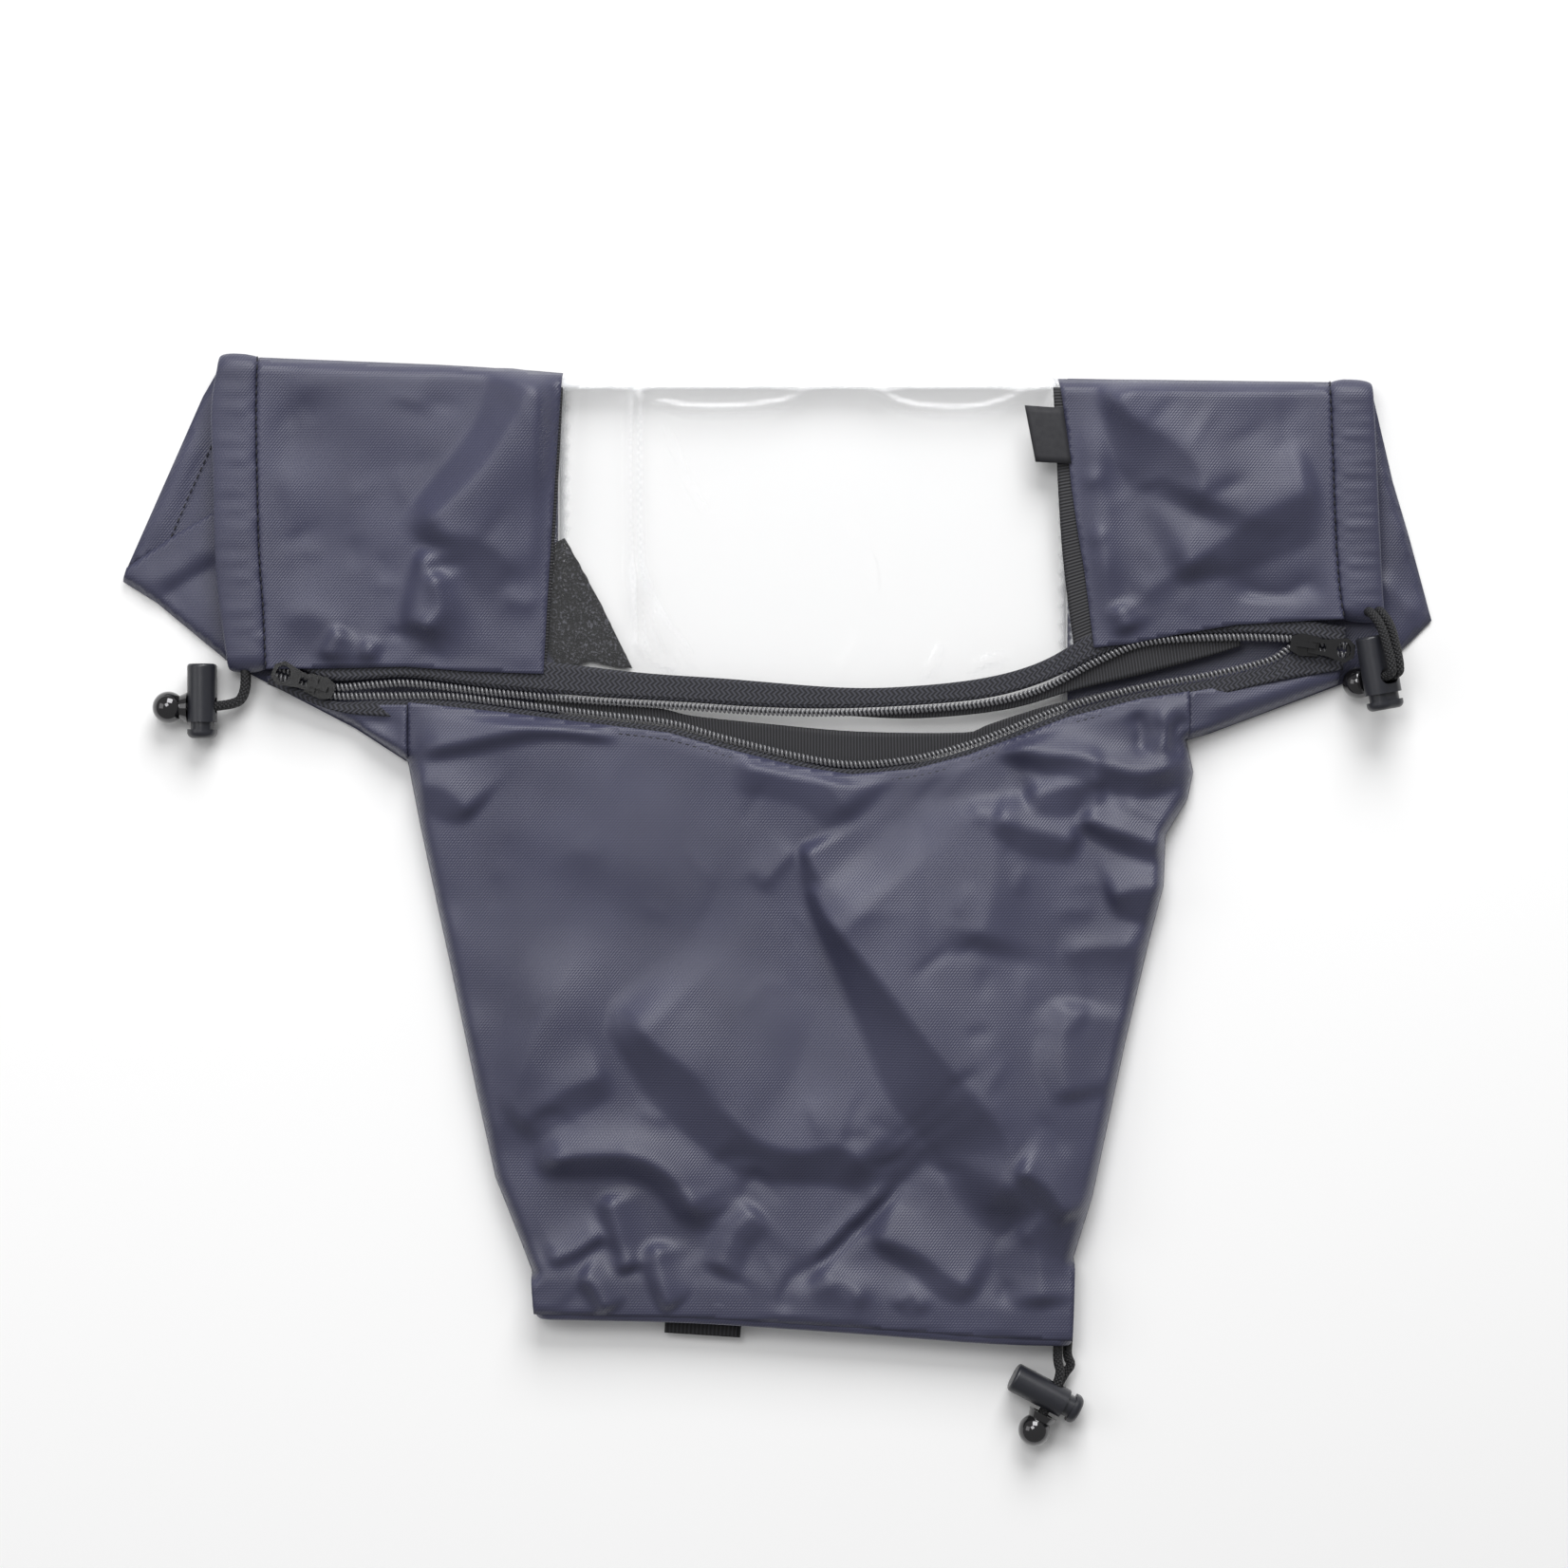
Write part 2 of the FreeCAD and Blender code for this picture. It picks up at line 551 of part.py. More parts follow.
def tapered_outline(sketch, rear, front, width_rear, width_front):
    """Slider plan: narrow behind, wide at the shoulders."""
    polygon(sketch, [
        (rear, "-%s / 2" % width_rear), (rear, "%s / 2" % width_rear),
        ("-%s * 0.35" % front, "%s / 2" % width_front), ("-%s" % front, "%s / 2 * 0.62" % width_front),
        ("-%s" % front, "-%s / 2 * 0.62" % width_front), ("-%s * 0.35" % front, "-%s / 2" % width_front),
    ])


def make_slider(side):
    """Two shaped plates joined by a post, with lips for the tapes and a bridge for the pull."""
    label = "zipper_slider_" + side
    body = new_body(label)
    half_gap = "Sizes.slider_channel / 2"
    half_height = "Sizes.slider_height / 2"
    wing = "(Sizes.slider_height - Sizes.slider_channel) / 2"
    post = sketch_on(body, "XY_Plane", "post_" + side, "-%s" % half_height)
    rectangle(post, "-Sizes.slider_front + 0.5", "-Sizes.slider_post_width / 2", "-Sizes.slider_front + 2",
              "Sizes.slider_post_width / 2")
    pad(body, post, "Sizes.slider_height")
    for place, level in (("low", "-%s" % half_height), ("high", half_gap)):
        plan = sketch_on(body, "XY_Plane", "wing_%s_%s" % (place, side), level)
        tapered_outline(plan, "Sizes.slider_rear", "Sizes.slider_front", "Sizes.slider_width_rear",
                        "Sizes.slider_width_front")
        pad(body, plan, wing)
    for place, level in (("low", "-%s" % half_gap), ("high", "%s - Sizes.slider_lip" % half_gap)):
        for way, near, far in (("near", "", ""), ("away", "-", "-")):
            lip = sketch_on(body, "XY_Plane", "lip_%s_%s_%s" % (place, way, side), level)
            inner = "%sSizes.slider_lip_inner" % near
            outer = "%sSizes.slider_width_rear / 2" % far
            low, high = (inner, outer) if not near else (outer, inner)
            rectangle(lip, "-1", low, "Sizes.slider_rear", high)
            pad(body, lip, "Sizes.slider_lip")
    arch = sketch_on(body, "XY_Plane", "bridge_" + side, half_height)
    rectangle(arch, "-Sizes.bridge_reach", "-Sizes.bridge_width / 2", "Sizes.bridge_reach",
              "Sizes.bridge_width / 2")
    pad(body, arch, "Sizes.bridge_rise")
    gap = sketch_on(body, "XZ_Plane", "bridge_gap_" + side)
    rectangle(gap, "-Sizes.bridge_reach + Sizes.bridge_leg", half_height,
              "Sizes.bridge_reach - Sizes.bridge_leg",
              "%s + Sizes.bridge_rise - Sizes.bridge_leg" % half_height)
    pocket(body, gap, "Sizes.bridge_width * 2", both_ways=True)
    body.Placement = slider_frame(side)
    return keep(body, label)


def make_pull_tab(side):
    """Flat pull: a cross pin in the bridge, a window that clears the bridge, an oval finger hole."""
    label = "pull_tab_" + side
    body = new_body(label)
    half = "Sizes.tab_thickness / 2"
    plan = sketch_on(body, "XY_Plane", "tab_plan_" + side, "-%s" % half)
    polygon(plan, [
        ("-Sizes.pin_diameter / 2", "-Sizes.tab_width_narrow / 2"),
        ("Sizes.tab_window_reach", "-Sizes.tab_width_narrow / 2 - 0.3"),
        ("Sizes.tab_length - 3.5", "-Sizes.tab_width_wide / 2"),
        ("Sizes.tab_length", "-Sizes.tab_width_wide / 2 + 2.6"),
        ("Sizes.tab_length", "Sizes.tab_width_wide / 2 - 2.6"),
        ("Sizes.tab_length - 3.5", "Sizes.tab_width_wide / 2"),
        ("Sizes.tab_window_reach", "Sizes.tab_width_narrow / 2 + 0.3"),
        ("-Sizes.pin_diameter / 2", "Sizes.tab_width_narrow / 2"),
    ])
    pad(body, plan, "Sizes.tab_thickness")
    window = sketch_on(body, "XY_Plane", "tab_window_" + side, half)
    rectangle(window, "Sizes.pin_diameter / 2", "-Sizes.tab_window_width / 2", "Sizes.tab_window_reach",
              "Sizes.tab_window_width / 2")
    pocket(body, window, "Sizes.tab_thickness")
    hole = sketch_on(body, "XY_Plane", "tab_hole_" + side, half)
    oval = [("Sizes.tab_hole_x + Sizes.tab_hole_length / 2 * %.4f" % math.cos(math.radians(30 * step)),
             "Sizes.tab_hole_width / 2 * %.4f" % math.sin(math.radians(30 * step))) for step in range(12)]
    polygon(hole, oval)
    pocket(body, hole, "Sizes.tab_thickness")
    lift = size("slider_height") / 2 + size("pin_rise")
    hinge = Placement(Vector(size("pin_offset"), 0, lift), Rotation())
    body.Placement = slider_frame(side).multiply(hinge)
    pin = slider_frame(side).multVec(Vector(size("pin_offset"), 0, lift))
    print("%s: pin at %.2f %.2f %.2f" % (label, pin.x, pin.y, pin.z))
    return keep(body, label)


def make_zipper():
    for name in ("zipper_tape_upper", "zipper_tape_lower"):
        woven_strip(name, size("tape_level"), size("fabric"))
    for name in ("zipper_binding_upper", "zipper_binding_lower"):
        woven_strip(name, size("ribbon_level"), size("ribbon"))
    make_coils()
    make_end_stops()
    for side in SLIDERS:
        make_slider(side)
        make_pull_tab(side)


# Hems ------------------------------------------------------------------------------------------


def channel_route(details):
    """Drawcord route inside a hem: up through the front layer, round the far end, back below."""
    far = size(details["span"]) - size("hem_wall") / 2
    high = details["upper"][-1][2]
    low = details["lower"][-1][2]
    return details["upper"] + [(0.0, far, high), (0.0, far, low)] + details["lower"][::-1]


def make_hem(name):
    """A flattened ring of folded fabric with a round channel, and the drawcord inside it."""
    details = HEMS[name]
    span = "Sizes." + details["span"]
    width = "Sizes." + details["width"]
    body = new_body(name)
    outer = sketch_on(body, "YZ_Plane", "ring_outer_" + name, "-%s / 2" % width)
    rectangle(outer, "0", "Sizes.floor_gap", span, "Sizes.floor_gap + Sizes.hem_rise")
    pad(body, outer, width)
    inner = sketch_on(body, "YZ_Plane", "ring_inner_" + name)
    rectangle(inner, "Sizes.hem_end_block", "Sizes.floor_gap + Sizes.hem_wall", "%s - Sizes.hem_wall" % span,
              "Sizes.floor_gap + Sizes.hem_rise - Sizes.hem_wall")
    pocket(body, inner, "%s * 2" % width, both_ways=True)
    path = tube_path(channel_route(details))
    channel = HERE.addObject("Part::Feature", "channel_" + name)
    channel.Shape = tube_along(path, size("channel_bore"))
    ring = HERE.addObject("Part::Cut", "ring_" + name)
    ring.Base = body
    ring.Tool = channel
    place = Placement(Vector(*details["corner"], 0), Rotation(Vector(0, 0, 1), details["turn"]))
    ring.Placement = place
    keep(ring, name)
    cord = as_feature(tube_along(path, size("cord_diameter"), details["drawcord"]), details["drawcord"])
    cord.Placement = place


# Cord locks ------------------------------------------------------------------------------------


def lock_frame(side):
    """Placement of a lock: Z from closed end to head, X along the cord hole towards the ball."""
    details = LOCKS[side]
    heading = math.radians(details["heading"])
    tilt = math.radians(details["tilt"])
    axis = Vector(math.cos(heading), math.sin(heading), 0)
    level_way = Vector(math.sin(heading), -math.cos(heading), 0)
    cord_way = level_way * math.cos(tilt) + Vector(0, 0, -math.sin(tilt))
    turn = Rotation(cord_way, axis.cross(cord_way), axis, "ZXY")
    return Placement(Vector(*details["closed_end"]), turn)


def make_barrel(side):
    label = "lock_barrel_" + side
    body = new_body(label)
    outer = sketch_on(body, "XY_Plane", "barrel_outer_" + side)
    upright_slot(outer, "Sizes.barrel_width", "Sizes.barrel_depth")
    block = pad(body, outer, "Sizes.barrel_length")
    round_edge = body.newObject("PartDesign::Fillet", "barrel_round_" + side)
    round_edge.Base = (block, [face_at(block.Shape, Vector(0, 0, 0))])
    round_edge.setExpression("Radius", "Sizes.barrel_round")
    HERE.recompute()
    inner = sketch_on(body, "XY_Plane", "barrel_inner_" + side, "Sizes.barrel_length")
    walls = "2 * Sizes.barrel_wall"
    upright_slot(inner, "Sizes.barrel_width - %s" % walls, "Sizes.barrel_depth - %s" % walls)
    pocket(body, inner, "Sizes.barrel_length - Sizes.barrel_floor")
    hole = sketch_on(body, "YZ_Plane", "barrel_hole_" + side)
    slot(hole, "Sizes.hole_width", "Sizes.hole_height", "Sizes.hole_centre")
    pocket(body, hole, "Sizes.barrel_depth * 2", both_ways=True)
    body.Placement = lock_frame(side)
    return keep(body, label)


def upright_slot(sketch, length, height):
    """Round-ended outline with its length along the sketch's Y."""
    radius = sketch.evalExpression(height) / 2
    reach = sketch.evalExpression(length) / 2 - radius
    up = Vector(0, 0, 1)
    top = Part.ArcOfCircle(Part.Circle(Vector(0, reach, 0), up, radius), 0, math.pi)
    bottom = Part.ArcOfCircle(Part.Circle(Vector(0, -reach, 0), up, radius), math.pi, 2 * math.pi)
    left = Part.LineSegment(Vector(-radius, reach, 0), Vector(-radius, -reach, 0))
    right = Part.LineSegment(Vector(radius, -reach, 0), Vector(radius, reach, 0))
    first, second, third, fourth = [sketch.addGeometry(piece) for piece in (top, left, bottom, right)]
    for one, two in ((first, second), (second, third), (third, fourth), (fourth, first)):
        sketch.addConstraint(Sketcher.Constraint("Tangent", one, 2, two, 1))
    bind(sketch, "Radius", first, 0, radius, "(%s) / 2" % height)
    bind(sketch, "Radius", third, 0, radius, "(%s) / 2" % height)
    bind(sketch, "DistanceY", first, 3, reach, "((%s) - (%s)) / 2" % (length, height))
    bind(sketch, "DistanceY", third, 3, -reach, "-((%s) - (%s)) / 2" % (length, height))
    sketch.addConstraint(Sketcher.Constraint("PointOnObject", first, 3, -2))


def make_plunger(side):
    """Sliding stem with a cross hole, a spring pocket below and a domed head above."""
    label = "lock_plunger_" + side
    body = new_body(label)
    slack = "2 * (Sizes.barrel_wall + Sizes.plunger_clearance)"
    stem = sketch_on(body, "XY_Plane", "stem_" + side, "Sizes.plunger_foot")
    upright_slot(stem, "Sizes.barrel_width - %s" % slack, "Sizes.barrel_depth - %s" % slack)
    pad(body, stem, "Sizes.plunger_neck - Sizes.plunger_foot")
    head = sketch_on(body, "XY_Plane", "head_" + side, "Sizes.plunger_neck")
    upright_slot(head, "Sizes.barrel_width", "Sizes.barrel_depth")
    cap = pad(body, head, "Sizes.plunger_top - Sizes.plunger_neck")
    dome = body.newObject("PartDesign::Fillet", "dome_" + side)
    dome.Base = (cap, [face_at(cap.Shape, Vector(0, 0, size("plunger_top")))])
    dome.setExpression("Radius", "Sizes.plunger_dome")
    HERE.recompute()
    hole = sketch_on(body, "YZ_Plane", "stem_hole_" + side)
    rectangle(hole, "-Sizes.hole_width / 2", "Sizes.plunger_hole_low", "Sizes.hole_width / 2",
              "Sizes.plunger_hole_low + Sizes.plunger_hole_height")
    pocket(body, hole, "Sizes.barrel_depth * 2", both_ways=True)
    well_top = "Sizes.plunger_foot + Sizes.spring_pocket_depth"
    well = sketch_on(body, "XY_Plane", "spring_well_" + side, well_top)
    circle(well, "Sizes.spring_pocket")
    pocket(body, well, "Sizes.spring_pocket_depth")
    body.Placement = lock_frame(side)
    return keep(body, label)


def make_spring(side):
    """Compression spring between the barrel's floor and the end of the plunger's pocket."""
    wire = size("spring_wire")
    low = size("barrel_floor") + wire / 2 + 0.05
    high = size("plunger_foot") + size("spring_pocket_depth") - wire / 2 - 0.05
    pitch = (high - low) / size("spring_turns")
    radius = size("spring_diameter") / 2
    helix = Part.makeHelix(pitch, high - low, radius)
    start = Part.Wire([Part.makeCircle(wire / 2, Vector(radius, 0, 0), Vector(0, 1, 0))])
    coil = Part.Wire(helix.Edges).makePipeShell([start], True, True)
    spring = as_feature(coil, "lock_spring_" + side)
    spring.Placement = lock_frame(side).multiply(Placement(Vector(0, 0, low), Rotation()))


def primitive(kind, name, sizes, x=0.0):
    """A Part primitive along the lock's X axis, its sizes bound to the sheet."""
    thing = HERE.addObject(kind, name)
    for key, expression in sizes.items():
        thing.setExpression(key, expression)
    thing.Placement = Placement(Vector(x, 0, 0), Rotation(Vector(0, 1, 0), 90))
    return thing


def cut_away(name, base, tool):
    result = HERE.addObject("Part::Cut", name)
    result.Base = base
    result.Tool = tool
    return result


def make_ball_end(side):
    """Hollow ball, flared collar plugged into its mouth, and the knot that they hide."""
    distance = LOCKS[side]["ball"]
    frame = lock_frame(side).multiply(Placement(Vector(distance, 0, size("cord_centre")), Rotation()))
    radius = size("ball_diameter") / 2
    ball = primitive("Part::Sphere", "ball_outside_" + side, {"Radius": "Sizes.ball_diameter / 2"})
    space = primitive("Part::Sphere", "ball_inside_" + side,
                      {"Radius": "Sizes.ball_diameter / 2 - Sizes.ball_wall"})
    mouth = primitive("Part::Cylinder", "ball_mouth_" + side,
                      {"Radius": "Sizes.ball_mouth / 2", "Height": "Sizes.ball_diameter / 2"}, -radius)
    hollow = cut_away("ball_hollow_" + side, ball, space)
    shell = cut_away("ball_shell_" + side, hollow, mouth)
    shell.Placement = frame
    keep(shell, "cord_ball_" + side)

    front = -4.8 - size("collar_length")
    flare = primitive("Part::Cone", "collar_flare_" + side,
                      {"Radius1": "Sizes.collar_flare / 2", "Radius2": "Sizes.collar_waist / 2",
                       "Height": "Sizes.collar_length"}, front)
    neck = primitive("Part::Cylinder", "collar_neck_" + side,
                     {"Radius": "Sizes.collar_neck / 2", "Height": "Sizes.collar_neck_length"},
                     front + size("collar_length"))
    bore = primitive("Part::Cylinder", "collar_bore_" + side,
                     {"Radius": "Sizes.collar_bore / 2", "Height": "Sizes.ball_diameter"}, front - 1)
    whole = HERE.addObject("Part::Fuse", "collar_whole_" + side)
    whole.Base = flare
    whole.Tool = neck
    collar = cut_away("collar_" + side, whole, bore)
    collar.Placement = frame
    keep(collar, "cord_collar_" + side)

    knot = primitive("Part::Sphere", "knot_" + side, {"Radius": "Sizes.knot_diameter / 2"})
    knot.Placement = frame
    keep(knot, "cord_knot_" + side)


def make_lock(side):
    make_barrel(side)
    make_plunger(side)
    make_spring(side)
    make_ball_end(side)


def make_cords():
    for name, route in CORDS.items():
        as_feature(tube_along(tube_path(route, name), size("cord_diameter"), name), name)


# Checks and export -------------------------------------------------------------------------------


def check_document():
    HERE.recompute()
    for thing in HERE.Objects:
        if "Invalid" in thing.State or "Error" in thing.State:
            raise RuntimeError("%s failed: %s" % (thing.Name, thing.State))
    for node in NODES:
        if node.Shape.isNull() or not node.Shape.isValid():
            raise RuntimeError("%s has no valid shape" % node.Label)


def export_nodes():
    os.makedirs("parts", exist_ok=True)
    for node in NODES:
        node.Shape.exportStep("parts/%s.step" % node.Label)
    print("%d nodes" % len(NODES))


fill_sheet()
make_panels()
make_zipper()
for hem_name in HEMS:
    make_hem(hem_name)
for lock_side in LOCKS:
    make_lock(lock_side)
make_cords()
check_document()
export_nodes()
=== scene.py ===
"""Looks of the camera rain cover: fabric, clear window, zipper, drawcords and cord locks.

Shapes are written in millimetres in the frame of the CAD model and scaled when a mesh is made.
"""
import json
import math

import bpy
import numpy as np
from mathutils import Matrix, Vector
from mathutils.geometry import delaunay_2d_cdt
from mathutils.kdtree import KDTree


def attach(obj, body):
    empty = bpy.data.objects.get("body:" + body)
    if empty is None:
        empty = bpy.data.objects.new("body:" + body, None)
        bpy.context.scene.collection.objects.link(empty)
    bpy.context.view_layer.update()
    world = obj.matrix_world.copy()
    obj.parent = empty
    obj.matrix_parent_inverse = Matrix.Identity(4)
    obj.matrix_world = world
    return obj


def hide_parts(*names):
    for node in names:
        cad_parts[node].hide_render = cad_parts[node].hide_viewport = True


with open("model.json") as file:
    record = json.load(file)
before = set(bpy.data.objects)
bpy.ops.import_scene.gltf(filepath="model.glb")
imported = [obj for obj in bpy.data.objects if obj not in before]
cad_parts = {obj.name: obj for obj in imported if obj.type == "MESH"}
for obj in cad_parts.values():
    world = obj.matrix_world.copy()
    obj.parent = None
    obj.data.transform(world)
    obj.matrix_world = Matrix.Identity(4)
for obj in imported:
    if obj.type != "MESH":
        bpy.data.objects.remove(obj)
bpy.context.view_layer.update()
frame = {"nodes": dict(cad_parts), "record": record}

MM = 0.001
COVER = "cover"

# Levels above the floor.
FRONT = 12.3
FRONT_PUFF = 0.3
TAPE_TOP = 11.1
TAPE_CLEAR = TAPE_TOP + 0.8
BINDING_TOP = 9.2
SIDE_BINDING_TOP = 11.0
TAB_TOP = 5.8
WINDOW = 10.9
WINDOW_PUFF = 0.25
SEWN = 10.2
HEM_HIGH = 12.6
HEM_LOW = 3.4
SEAM_TOP = 14.5
HEM_COVER = 15.3
LABEL_LEVEL = 12.75
LOWEST_SLEEVE = 8.0
LOWEST_LENS = 7.0
EDGE_LEVEL = 1.4

# Sizes and shares.
DEPTH = 1.35
CLOTH_THICKNESS = 0.4
VINYL_THICKNESS = 0.35
HEM_HALF = 2.5
HEM_END = 6.2
CORD_DIAMETER = 3.8
CORD_SIDES = 14
TOOTH_PITCH = 1.77
TOOTH_REACH = 1.2
TOOTH_RISE = 0.8
WIRE_RADIUS = 0.5
COIL_LEVEL = 11.0
FILLER_LEVEL = 10.6
STITCH_PITCH = 3.4


# Number helpers ------------------------------------------------------------------------------


def smooth(points, step=4.0):
    """Catmull-Rom curve through the points, sampled about every `step` millimetres."""
    points = np.asarray(points, float)
    padded = np.vstack([2 * points[0] - points[1], points, 2 * points[-1] - points[-2]])
    samples = []
    for before, here, there, after in zip(padded, padded[1:], padded[2:], padded[3:]):
        count = max(2, int(np.linalg.norm(there - here) / step))
        for share in np.linspace(0, 1, count, endpoint=False):
            samples.append(0.5 * (2 * here + (there - before) * share
                                  + (2 * before - 5 * here + 4 * there - after) * share ** 2
                                  + (3 * here - before - 3 * there + after) * share ** 3))
    samples.append(points[-1])
    return np.array(samples)


def straight(points, step=4.0):
    """Straight runs through the points, sampled about every `step` millimetres."""
    points = np.asarray(points, float)
    samples = []
    for here, there in zip(points, points[1:]):
        count = max(1, int(round(np.linalg.norm(there - here) / step)))
        samples += [here + (there - here) * share for share in np.linspace(0, 1, count, endpoint=False)]
    samples.append(points[-1])
    return np.array(samples)


def resample(points, count):
    """The same line with evenly spaced points."""
    run = np.concatenate([[0], np.cumsum(np.linalg.norm(np.diff(points, axis=0), axis=1))])
    targets = np.linspace(0, run[-1], count)
    return np.stack([np.interp(targets, run, points[:, axis]) for axis in range(points.shape[1])], axis=1)


def beside(points, line):
    """Distance from each point to a line, side of it (left is 1) and share of the line passed."""
    start = line[:-1]
    span = line[1:] - line[:-1]
    length = np.linalg.norm(span, axis=1)
    run = np.concatenate([[0], np.cumsum(length)])
    offset = points[:, None, :] - start[None]
    share = np.clip((offset * span).sum(2) / length ** 2, 0, 1)
    gap = offset - share[..., None] * span
    squared = (gap ** 2).sum(2)
    nearest = squared.argmin(1)
    rows = np.arange(len(points))
    away = gap[rows, nearest]
    along = span[nearest]
    side = np.sign(along[:, 0] * away[:, 1] - along[:, 1] * away[:, 0])
    passed = (run[nearest] + share[rows, nearest] * length[nearest]) / run[-1]
    return np.sqrt(squared[rows, nearest]), side, passed


def inside(points, outline):
    """Even-odd test against a closed outline."""
    x, y = points[:, 0], points[:, 1]
    result = np.zeros(len(points), bool)
    for (ax, ay), (bx, by) in zip(outline, np.roll(outline, -1, axis=0)):
        crosses = (ay > y) != (by > y)
        rise = by - ay if by != ay else 1e-9
        result ^= crosses & (x < (bx - ax) * (y - ay) / rise + ax)
    return result


def ease(share):
    """Smooth step from 0 to 1."""
    return share * share * (3 - 2 * share)


def fade(passed, lead):
    """1 along a line, easing to 0 over the `lead` share at both of its ends."""
    return ease(np.clip(np.minimum(passed, 1 - passed) / lead, 0, 1))


def fold(points, line, height, left, right, crisp=1.5, lead=0.25):
    """Ridge, or valley if height is negative; it falls off over `left` and `right` millimetres."""
    distance, side, passed = beside(points, smooth(line))
    width = np.where(side > 0, left, right)
    return height * fade(passed, lead) * np.exp(-(distance / width) ** crisp)


def folds(points, table):
    """Sum of the folds in a table."""
    return sum(fold(points, *row) for row in table)


def facet(points, ridge, foot, rise, far, lead=0.16):
    """A slope from a ridge line down to a foot line on its right; the high side fades over `far`.

    Rises are written as seen and are scaled by DEPTH, because averaging softens them.
    """
    ridge, foot = smooth(ridge), smooth(foot)
    high, side, passed = beside(points, ridge)
    low, _, _ = beside(points, foot)
    on_slope = inside(points, np.vstack([ridge, foot[::-1]]))
    plateau = np.where(side > 0, np.exp(-(high / far) ** 1.6), 0.0)
    slope = low / np.maximum(low + high, 1e-6)
    return DEPTH * rise * fade(passed, lead) * np.where(on_slope, slope, plateau)


def facets(points, table):
    """Sum of the facets in a table."""
    return sum(facet(points, *row) for row in table)


def even(plan, heights, radius):
    """Average the heights over a small neighbourhood, so that creases look like cloth."""
    tree = KDTree(len(plan))
    for index, (x, y) in enumerate(plan):
        tree.insert((x, y, 0), index)
    tree.balance()
    result = heights.copy()
    for index, (x, y) in enumerate(plan):
        found = [other for _, other, _ in tree.find_range((x, y, 0), radius)]
        result[index] = heights[found].mean()
    return result


def creases(points, box, count, rise, seed):
    """Many small slack creases inside a box (low x, high x, low y, high y), the same on every run."""
    dice = np.random.default_rng(seed)
    total = np.zeros(len(points))
    for _ in range(count):
        middle = np.array([dice.uniform(box[0], box[1]), dice.uniform(box[2], box[3])])
        heading = dice.uniform(0, math.pi)
        reach = dice.uniform(6, 16) * np.array([math.cos(heading), math.sin(heading)])
        bow = dice.uniform(-0.25, 0.25) * np.array([-reach[1], reach[0]])
        line = [middle - reach, middle + bow, middle + reach]
        height = rise * dice.uniform(0.4, 1) * dice.choice([-1, 1])
        total += fold(points, line, height, dice.uniform(1.8, 3.2), dice.uniform(3, 6), 1.3, 0.4)
    return total


def ripple(points, size, height, seed):
    """Low random waves, the same on every run."""
    dice = np.random.default_rng(seed)
    total = np.zeros(len(points))
    for _ in range(9):
        heading = dice.uniform(0, math.pi)
        wave = dice.uniform(0.6, 1.7) * size
        phase = dice.uniform(0, 2 * math.pi)
        total += np.sin((points @ [math.cos(heading), math.sin(heading)]) * 2 * math.pi / wave + phase)
    return total * height / 3


def drop(points, heights, line, radius, low):
    """Round the sheet down to a low level along one of its edges."""
    distance, _, _ = beside(points, straight(line))
    share = np.clip(distance / radius, 0, 1)
    return low + (heights - low) * np.sqrt(np.clip(1 - (1 - share) ** 2, 0, 1))


def settle(points, heights, line, width, level):
    """Bring the sheet to a level along one of its edges."""
    distance, _, _ = beside(points, straight(line))
    return level + (heights - level) * ease(np.clip(distance / width, 0, 1))


# Mesh helpers --------------------------------------------------------------------------------


def add_mesh(name, corners, faces, uvs=None, body=COVER):
    """A smooth mesh object from corners in millimetres; it rides on a body."""
    mesh = bpy.data.meshes.new(name)
    mesh.from_pydata([tuple(corner) for corner in np.asarray(corners) * MM], [], faces)
    mesh.update()
    mesh.polygons.foreach_set("use_smooth", [True] * len(mesh.polygons))
    if uvs is not None:
        layer = mesh.uv_layers.new(name="UVMap")
        for loop in mesh.loops:
            layer.data[loop.index].uv = uvs[loop.vertex_index]
    piece = add_object(name, mesh)
    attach(piece, body)
    return piece


def thicken(piece, thickness, offset=-1.0):
    """Give a surface a thickness; it grows down unless the offset is 1."""
    layer = piece.modifiers.new("thickness", "SOLIDIFY")
    layer.thickness = thickness * MM
    layer.offset = offset


def dress(piece, slot, material=None):
    """Give a piece the look of its record slot, or another material that belongs to that slot."""
    piece.data.materials.append(material or LOOKS[slot])


def cut_size(outline):
    """Length and width in metres of the smallest rectangle that the outline is cut from."""
    best = None
    for turn in np.radians(np.arange(0, 90, 3)):
        ways = np.array([[math.cos(turn), -math.sin(turn)], [math.sin(turn), math.cos(turn)]])
        spread = np.ptp(outline @ ways, axis=0)
        if best is None or spread.prod() < best.prod():
            best = spread
    return tuple(float(value) * MM for value in best)


def fill(outline, step):
    """Points and left-turning triangles that fill a closed outline with an even grid."""
    low, high = outline.min(0), outline.max(0)
    grid_x, grid_y = np.meshgrid(np.arange(low[0], high[0], step), np.arange(low[1], high[1], step * 0.87))
    grid_x[1::2] += step / 2
    grid = np.stack([grid_x.ravel(), grid_y.ravel()], axis=1)
    grid = grid[inside(grid, outline)]
    closed = np.vstack([outline, outline[:1]])
    grid = grid[beside(grid, closed)[0] > step * 0.55]
    count = len(outline)
    ring = [(index, (index + 1) % count) for index in range(count)]
    seeds = [Vector(point) for point in np.vstack([outline, grid])]
    found = delaunay_2d_cdt(seeds, ring, [], 1, 1e-4)
    plan = np.array([tuple(point) for point in found[0]])
    return plan, [face if turns_left(plan, face) else face[::-1] for face in found[2]]


